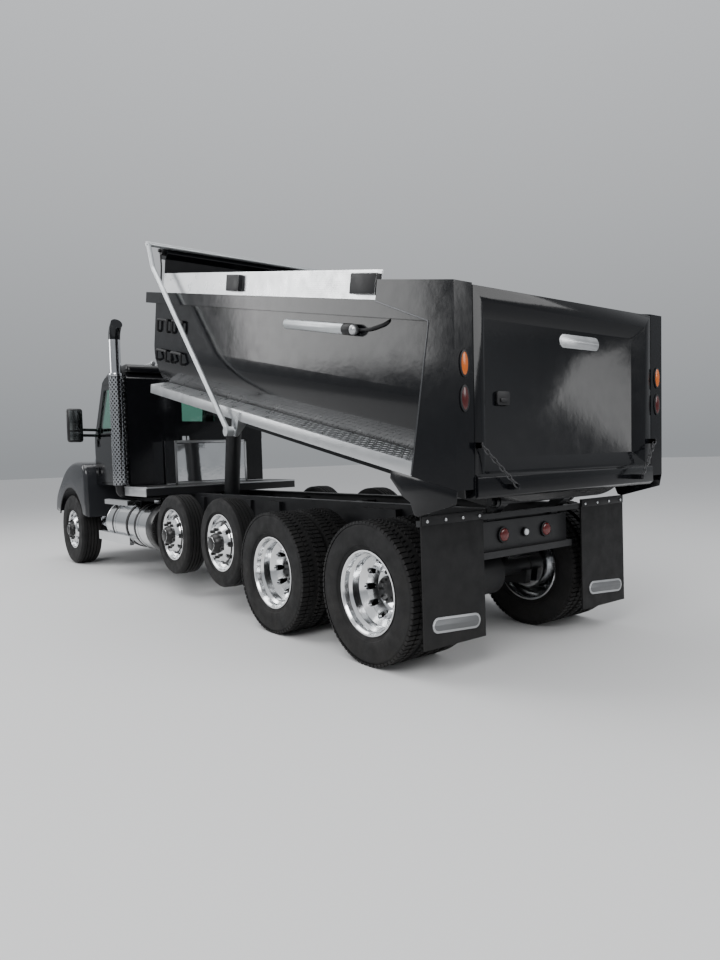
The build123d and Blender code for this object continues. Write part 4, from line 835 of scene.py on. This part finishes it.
oil_y, oil_z = (-0.54, 0.54), (1.25, 1.85)
oil_trim = picture_frame(1.215, oil_y, oil_z, 0.03, -0.006) + picture_frame(1.555, oil_y, oil_z, 0.03, 0.006)
oil_trim.append(rod((1.38, 0.3, 1.85), (1.38, 0.3, 1.89), 0.05, 32, 0.005))
done(oil_trim, "oil_tank_trim", "chassis", badge_silver)

# Fuel tanks: polished aluminium barrels with rolled front ends and a filler each, hung in steel
# straps. A black drum of the same size closes the rear, and the steps have raised grips.
tank_bright = finish_of(
    "tank_bright", (0.72, 0.73, 0.74), 0.1, metallic=1.0, grain=(12.0, 0.0004), dust=(0.8, 0.15)
)
dress(tank_bright, "fuel_tanks")
tank_y, tank_z = 0.85, 0.73
grip_pitch = 0.045
straps, rims, ends, grips = [], [], [], []
for side in (1, -1):
    y = side * tank_y
    for x in (1.16, 1.46, 2.0):
        straps.append(rod((x - 0.028, y, tank_z), (x + 0.028, y, tank_z), 0.3085, 72, 0.003))
    rims.append(rod((2.262, y, tank_z), (2.286, y, tank_z), 0.3045, 72, 0.004))
    rims.append(dome((2.274, y, tank_z), (0.035, 0.285, 0.285)))
    rims.append(rod((1.22, side * 0.8, 1.02), (1.22, side * 0.8, 1.07), 0.055, 32, 0.006))
    ends.append(rod((0.575, y, tank_z), (0.79, y, tank_z), 0.311, 72, 0.02))
    ends.append(rod((0.56, y, tank_z), (0.58, y, tank_z), 0.25, 56, 0.006))
    for x0, x1, z in ((1.39, 2.3, 1.065), (1.36, 2.61, 0.6)):
        for y in (1.105, 1.13):
            clear()
            bpy.ops.mesh.primitive_cylinder_add(
                vertices=10, radius=0.008, depth=0.006, location=(x0 + 0.03, side * y, z + 0.001)
            )
            grips.append(in_row(apply_all(), int((x1 - x0) / grip_pitch), (grip_pitch, 0, 0)))
done(straps, "tank_straps", "chassis", satin_black)
done(rims, "tank_rims", "chassis", tank_bright, 50)
done(ends, "battery_drums", "chassis", hub_black)
done(grips, "step_grips", "chassis", badge_silver, 0)

# Exhaust stack: a chromed steel pipe on the cab's rear corner, with a dark turned-back tip. Over
# the deck a black core runs inside a rolled, punched and chromed heat guard on two brackets.
stack_x, stack_y = stack_at = (1.716, 1.12)
bright = finish_of(
    "bright_chrome", (0.6, 0.61, 0.63), 0.07, metallic=1.0, grain=(8.0, 0.0003), dust=(0.8, 0.05)
)
stack = [rod((*stack_at, 2.74), (*stack_at, 3.235), 0.0755, 48)]
stack.append(rod((*stack_at, 2.735), (*stack_at, 2.775), 0.0945, 48, 0.004))
stack_piece = done(stack, "stack_pipe", "chassis", bright)
core = [rod((*stack_at, 1.25), (*stack_at, 2.745), 0.074, 40)]
elbow = [(*stack_at, 1.27), (*stack_at, 1.16), (stack_x, 1.0, 1.15), (stack_x, 0.47, 1.125)]
core.append(tube(elbow, 0.066, 0.06, 24))
core += [slab((1.696, 1.736), (1.02, 1.05), (z - 0.03, z + 0.03)) for z in (1.5, 2.5)]
done(core, "stack_core", "chassis", satin_black)
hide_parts("exhaust_stack")
tip_bend = 0.23
tip_turns = [math.radians(6 * k) for k in range(11)]
tip_run = [
    (stack_x - tip_bend * (1 - math.cos(t)), stack_y, 3.23 + tip_bend * math.sin(t)) for t in tip_turns
]
tip_dark = finish_of("tip_dark", (0.02, 0.021, 0.023), 0.16, metallic=0.7, dust=(0.8, 0.0))
done([tube(tip_run, 0.0775, 0.001, 40)], "stack_tip", "chassis", tip_dark, 50)
guard_low, guard_cell, guard_cells, guard_rows = 1.27, 0.031, 24, 47
clear()
bpy.ops.mesh.primitive_cylinder_add(
    vertices=guard_cells, radius=0.095, depth=guard_cell, end_fill_type="NOTHING",
    location=(*stack_at, guard_low + guard_cell / 2),
)
guard = in_row(apply_all(), guard_rows, (0, 0, guard_cell), merge=True)


def on_stagger(face):
    """Tell whether a cell of the guard takes a hole: every other one of each row."""
    row = int((face.center.z - guard_low) / guard_cell)
    turn = math.atan2(face.center.y - stack_y, face.center.x - stack_x)
    return (row + round(turn * guard_cells / (2 * math.pi) - 0.5)) % 2 == 0


pick(guard, on_stagger)
bpy.ops.mesh.inset(thickness=0.0025, use_individual=True)
bpy.ops.mesh.bevel(offset=0.007, segments=2, affect="VERTICES")
bpy.ops.mesh.select_face_by_sides(number=12, type="EQUAL", extend=False)
bpy.ops.mesh.delete(type="FACE")
leave_edit()
thicken(guard, 0.003)
done([guard], "stack_guard", "chassis", bright)
rail = tube([(1.86, 1.02, 1.55), (1.86, 1.06, 1.55), (1.86, 1.06, 2.45), (1.86, 1.02, 2.45)], 0.014, 0.03)
done(rail, "grab_rail", "chassis", satin_black)

# Bumper, grille and headlamps: a pressed steel bumper with two tow eyes and a grille of slats in
# a surround, both chromed. The lamps are clear moulded lenses set into the fenders' noses.
dress(bright, "front_bumper", "grille")
lens_clear = finish_of("lens_clear", (0.7, 0.72, 0.74), 0.08, shine=0.6, dust=(0.5, 0.0))
dress(lens_clear, "headlamps")

# Hood: one bonded moulding of a tapered centre and two rounded fenders, sprayed gloss black. It
# is hollow, open at its grille and wheel arches, and turns on two ears at its nose.
hood_gloss = finish_of(
    "hood_gloss", (0.02, 0.021, 0.024), 0.14, shine=0.6, grain=(7.0, 0.0005), dust=(1.1, 0.06)
)


def cut(piece, tools):
    """Cut other solids out of a piece."""
    for tool in tools:
        only(piece)
        away = piece.modifiers.new("away", "BOOLEAN")
        away.operation = "DIFFERENCE"
        away.solver = "EXACT"
        away.object = tool
        bpy.ops.object.modifier_apply(modifier="away")
        only(tool)
        bpy.ops.object.delete()
    return piece


def shrunk(outline, by):
    """Move each corner of an outline towards its middle by about this much on each axis."""
    xs, zs = [p[0] for p in outline], [p[1] for p in outline]
    mid_x, mid_z = (min(xs) + max(xs)) / 2, (min(zs) + max(zs)) / 2
    half_x, half_z = (max(xs) - min(xs)) / 2, (max(zs) - min(zs)) / 2
    return [
        (mid_x + (x - mid_x) * (1 - by / half_x), mid_z + (z - mid_z) * (1 - by / half_z)) for x, z in outline
    ]


def smooth_run(points, each=6):
    """Lay a soft curve through corner points, ends kept."""
    run = [points[0]]
    for before, corner, after in zip(points, points[1:], points[2:]):
        start = [(b + c) / 2 for b, c in zip(before, corner)]
        end = [(a + c) / 2 for a, c in zip(after, corner)]
        for step in range(each + 1):
            t = step / each
            mixed = zip(start, corner, end)
            spot = tuple(s * (1 - t) ** 2 + c * 2 * t * (1 - t) + e * t * t for s, c, e in mixed)
            if math.dist(spot, run[-1]) > 0.004:
                run.append(spot)
    return run + [points[-1]]


crest = smooth_run([
    (3.066, 0.765), (3.066, 1.2), (3.08, 1.54), (3.3, 1.61), (3.74, 1.6), (4.1, 1.48), (4.42, 1.25),
    (4.66, 1.05), (4.71, 0.795),
])
steer_x, steer_z = 3.825, 0.54
arch_radius, lip_radius = 0.665, 0.672
arch_turns = [math.radians(20 + 2.8 * k) for k in range(51)]
fenders, lips = [], []
for side in (1, -1):
    low, high = span(side, 0.56, 1.198)
    fender = plate(crest, low, high, "y", 0)
    pick(fender, lambda face: abs(face.normal.y) > 0.9 and face.center.y * side > 1.1)
    bpy.ops.mesh.bevel(offset=0.06, segments=6, profile=0.5)
    leave_edit()
    inner_crest = [(x, z - 0.03) for x, z in shrunk(crest, 0.02)]
    hollow = plate(inner_crest, *span(side, 0.735, 1.178), "y", 0)
    engine_side = plate(inner_crest, *span(side, 0.45, 0.715), "y", 0)
    arch = rod((steer_x, side * 0.5, steer_z), (steer_x, side * 1.3, steer_z), arch_radius, 96)
    fenders.append(cut(fender, [hollow, engine_side, arch]))
    edge = [(lip_radius * math.cos(t), lip_radius * math.sin(t)) for t in arch_turns]
    lips.append(tube([(steer_x + x, side * 1.188, steer_z + z) for x, z in edge], 0.012, 0.001, 8))
shoulder = [(0.8, 1.86)] + [(0.8 - 0.045 * s, 1.86 + 0.11 * s) for s in (0.35, 0.7)]
shoulder += [(0.755, 1.97), (0.7, 1.998), (0.64, 2.01), (0.32, 2.025)]
mirrored = [(-y, z) for y, z in reversed(shoulder)]
profile = [(-0.8, 1.35), (0.8, 1.35), *shoulder, (0.0, 2.03), *mirrored]
nose = plate(profile, 3.066, 3.067, "x", 0)
at_x, half, top, bottom = 3.067, 0.8, 2.03, 1.35
for next_x, next_half, next_top, next_bottom in ((4.075, 0.69, 1.9, 1.2), (4.735, 0.56, 1.62, 0.8)):
    pick(nose, lambda face: face.normal.x > 0.9)
    bpy.ops.mesh.extrude_region_move(TRANSFORM_OT_translate={"value": (next_x - at_x, 0, next_top - top)})
    squeeze = (next_top - next_bottom) / (top - bottom)
    bpy.ops.transform.resize(value=(1, next_half / half, squeeze), center_override=(next_x, 0, next_top))
    at_x, half, top, bottom = next_x, next_half, next_top, next_bottom
pick(nose, lambda face: face.normal.x < -0.9 or face.normal.z < -0.8)
bpy.ops.mesh.delete(type="FACE")
leave_edit()
thicken(nose, 0.012)
nose = cut(nose, [slab((4.6, 4.8), (-0.435, 0.435), (0.9, 1.5), 0)])
ears = []
for side in (1, -1):
    ear = [(4.66, 0.86), (4.735, 0.83), (4.78, 0.79), (4.78, 0.75), (4.74, 0.75), (4.66, 0.8)]
    ears.append(plate(ear, *span(side, 0.54, 0.56), "y", 0.001))
ears.append(rod((4.76, -0.56, 0.77), (4.76, 0.56, 0.77), 0.018, 24))
hood = done([nose, *fenders, *ears], "hood_shell", "hood", hood_gloss, 40)
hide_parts("hood")
done(lips, "fender_lips", "hood", satin_black, 50)

# Cab: pressed steel panels in the same gloss black, with green-tinted glass. A crowned panel caps
# the roof, and each door has seam strips and a handle.
cab_gloss = finish_of(
    "cab_gloss", (0.004, 0.0042, 0.0052), 0.13, shine=0.4, grain=(9.0, 0.0004), dust=(1.2, 0.05)
)
dress(cab_gloss, "cab_shell", "door_left", "door_right")
cloth_trim = finish_of("cab_trim", (0.03, 0.03, 0.032), 0.85, grain=(400.0, 0.0006), dust=(0.5, 0.0))
dress(cloth_trim, "cab_interior")
green_tint = {"Base Color": (0.45, 0.72, 0.62, 1), "Transmission Weight": 1.0, "Roughness": 0.02, "IOR": 1.45}
window = new_surface("window_glass", green_tint)
dress(window, "cab_glass", "door_glass_left", "door_glass_right")
crown_view = [(1.62, 2.79), (1.64, 2.885), (1.75, 2.92), (2.35, 2.9), (2.56, 2.84), (2.6, 2.79)]
crown = plate(crown_view, -0.985, 0.985, "y", 0.035)
done([crown], "roof_crown", "chassis", cab_gloss, 60)
for hand, side in hands:
    seams = []
    for x, top in ((2.845, 2.2), (1.975, 2.62)):
        seams.append(slab((x - 0.004, x + 0.004), span(side, 1.018, 1.0235), (1.3, top), 0.001))
    seams.append(rod((1.98, side * 1.024, 1.79), (2.11, side * 1.03, 1.8), 0.012, 16, 0.003))
    done(seams, f"door_trim_{hand}", f"door_{hand}", satin_black)

# Mirrors: moulded black heads on pairs of bent steel tubes from the doors. Each holds a large and
# a small glass that face back.
mirror_black = finish_of("mirror_black", (0.008, 0.008, 0.009), 0.35, shine=0.4, dust=(0.5, 0.0))
mirror_glass = finish_of(
    "mirror_glass", (0.12, 0.13, 0.13), 0.22, metallic=1.0, grain=(4.0, 0.0), dust=(0.5, 0.0)
)
for hand, side in hands:
    head = [slab((2.492, 2.578), span(side, 1.342, 1.558), (1.882, 2.358), 0.034)]
    for z in (2.06, 1.98):
        arm = [(2.85, side * 1.03, z), (2.66, side * 1.12, z), (2.54, side * 1.36, z)]
        head.append(tube(arm, 0.021, 0.06))
    head.append(slab((2.81, 2.85), span(side, 1.015, 1.05), (1.93, 2.1), 0.006))
    mirror = done(head, f"mirror_head_{hand}", f"door_{hand}", mirror_black, 50)
    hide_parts(f"mirror_{hand}")
    panes = ((2.05, 2.33), (1.91, 2.03))
    glass = [slab((2.487, 2.494), span(side, 1.368, 1.532), z, 0.002) for z in panes]
    done(glass, f"mirror_glass_{hand}", f"door_{hand}", mirror_glass)

# Chassis lamps and horns: five amber markers and two chromed horns on the roof. Two round red
# lamps and a clear one sit in black bezels on the panel that closes the frame's rear.
amber_marks = []
for y in (-0.7, -0.23, 0.0, 0.23, 0.7):
    amber_marks.append(slab((2.35, 2.47), (y - 0.045, y + 0.045), (2.85, 2.915), 0.018))
markers = done(amber_marks, "roof_markers", "chassis", lens_amber, 60)
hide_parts("chassis_lamps")
horns = []
for y in (0.56, 0.42):
    horns.append(rod((1.8, y, 2.955), (2.2, y, 2.955), 0.02, 24, 0.003))
    horns.append(rod((1.78, y, 2.955), (1.84, y, 2.955), 0.032, 28, 0.006))
    horns.append(slab((1.86, 1.9), (y - 0.015, y + 0.015), (2.9, 2.95), 0.002))
done(horns, "roof_horns", "chassis", badge_silver, 50)
bezels, lenses = [], []
radius = 0.05
for y in (0.256, -0.256):
    bezels.append(rod((-4.236, y, 0.93), (-4.262, y, 0.93), radius + 0.012, 40, 0.004))
    lenses.append(dome((-4.262, y, 0.93), (0.012, radius, radius)))
bezels.append(rod((-4.236, 0, 0.93), (-4.266, 0, 0.93), 0.036, 32, 0.006))
done(bezels, "rear_bezels", "chassis", satin_black)
done(lenses, "rear_lenses", "chassis", lens_red, 60)
clear_lens = dome((-4.266, 0, 0.93), (0.012, 0.026, 0.026))
done([clear_lens], "reverse_lens", "chassis", lens_clear, 60)

# Intake canisters: chromed steel drums with rounded ends and two clamp bands, bolted to the
# hood's rear corners over the fenders.
drums = []
for side in (1, -1):
    x, y = 3.19, side * 0.85
    drums.append(rod((x, y, 1.54), (x, y, 1.965), 0.125, 56, 0.035))
    drums += [rod((x, y, z), (x, y, z + 0.02), 0.129, 56, 0.003) for z in (1.63, 1.86)]
done(drums, "intake_drums", "hood", bright, 50)

# Mud flaps: moulded black rubber sheet. A clamp strip and four bright bolts hold each to its bar,
# and each carries a plain bright plate with round ends.
flap = finish_of(
    "flap_rubber", (0.0075, 0.0075, 0.008), 0.6, shine=0.25, grain=(300.0, 0.0006), dust=(0.8, 0.08)
)
dress(flap, "mud_flaps")
sign_tilt = math.radians(4)
strips, bolts, signs, fields = [], [], [], []
for side in (1, -1):
    strips.append(slab((-4.362, -4.354), span(side, 0.6, 1.2), (1.085, 1.148), 0.002))
    for y in (0.64, 0.81, 0.98, 1.155):
        bolts.append(rod((-4.36, side * y, 1.112), (-4.369, side * y, 1.112), 0.013, 6, 0.002))
for y, z in ((0.89, 0.375), (-0.92, 0.383)):
    for x0, x1, wide, high in ((-4.361, -4.354, 0.475, 0.11), (-4.3635, -4.36, 0.44, 0.078)):
        sign = plate(pill((0, 0), (wide, high), high / 2), x0, x1, "x", 0.001)
        sign.matrix_world = Matrix.Translation((0, y, z)) @ Matrix.Rotation(sign_tilt, 4, "X")
        (signs if wide > 0.45 else fields).append(sign)
done(strips, "flap_clamps", "chassis", satin_black)
done(bolts, "flap_bolts", "chassis", bolt_bright, 30)
done(signs, "flap_plates", "chassis", badge_silver)
sign_grey = finish_of("sign_grey", (0.16, 0.165, 0.17), 0.4, metallic=0.7, dust=(1.0, 0.15))
done(fields, "flap_plate_fields", "chassis", sign_grey)

# Floor, light and camera: a plain pale floor, four large soft lamps and a bright, even surround.
# The camera stands where the photo was taken from.
clear()
bpy.ops.mesh.primitive_plane_add(size=160, location=(0, 0, 0))
floor = bpy.context.object
floor.name = "floor"
floor.data.materials.append(
    new_surface("pale_floor", {"Base Color": (0.62, 0.62, 0.62, 1), "Roughness": 0.9})
)
floor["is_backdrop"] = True

world = bpy.context.scene.world or bpy.data.worlds.new("surround")
bpy.context.scene.world = world
world.use_nodes = True
air = world.node_tree
back = air.nodes["Background"]
spot = air.nodes.new("ShaderNodeTexCoord")
height = air.nodes.new("ShaderNodeSeparateXYZ")
air.links.new(spot.outputs["Generated"], height.inputs[0])
bands = air.nodes.new("ShaderNodeValToRGB")
air.links.new(height.outputs["Z"], bands.inputs["Fac"])
bands.color_ramp.elements[0].position = 0.0
bands.color_ramp.elements[0].color = (0.42, 0.44, 0.46, 1)
bands.color_ramp.elements[1].position = 0.55
bands.color_ramp.elements[1].color = (0.95, 0.97, 1.0, 1)
air.links.new(bands.outputs["Color"], back.inputs["Color"])
back.inputs["Strength"].default_value = 0.75

lamps = (
    ("key", (-9.0, 9.0, 9.0), 6.0, 900.0),
    ("fill", (-12.0, -3.0, 6.0), 6.0, 500.0),
    ("top", (2.0, 3.0, 11.0), 9.0, 900.0),
    ("far", (9.0, 10.0, 7.0), 6.0, 600.0),
)
for title, place, size, power in lamps:
    clear()
    bpy.ops.object.light_add(type="AREA", location=place)
    lamp = bpy.context.object
    lamp.name = f"light_{title}"
    lamp.data.size = size
    lamp.data.energy = power
    lamp.rotation_euler = (Vector((0, 0, 1.2)) - Vector(place)).to_track_quat("-Z", "Y").to_euler()

camera_place = Vector((-7.862, 4.425, 1.579))
yaw, pitch, roll = (math.radians(v) for v in (-37.74, -2.056, -1.838))
ahead = Vector((math.cos(yaw) * math.cos(pitch), math.sin(yaw) * math.cos(pitch), math.sin(pitch)))
level = ahead.cross(Vector((0, 0, 1))).normalized()
upright = level.cross(ahead)
right = level * math.cos(roll) + upright * math.sin(roll)
up = upright * math.cos(roll) - level * math.sin(roll)
clear()
bpy.ops.object.camera_add()
camera = bpy.context.object
camera.name = "camera"
turned = Matrix((right, up, -ahead)).transposed().to_4x4()
camera.matrix_world = Matrix.Translation(camera_place) @ turned
camera.data.sensor_width = 36.0
camera.data.lens = 26.53
camera.data.clip_end = 400.0
bpy.context.scene.camera = camera

low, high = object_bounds()
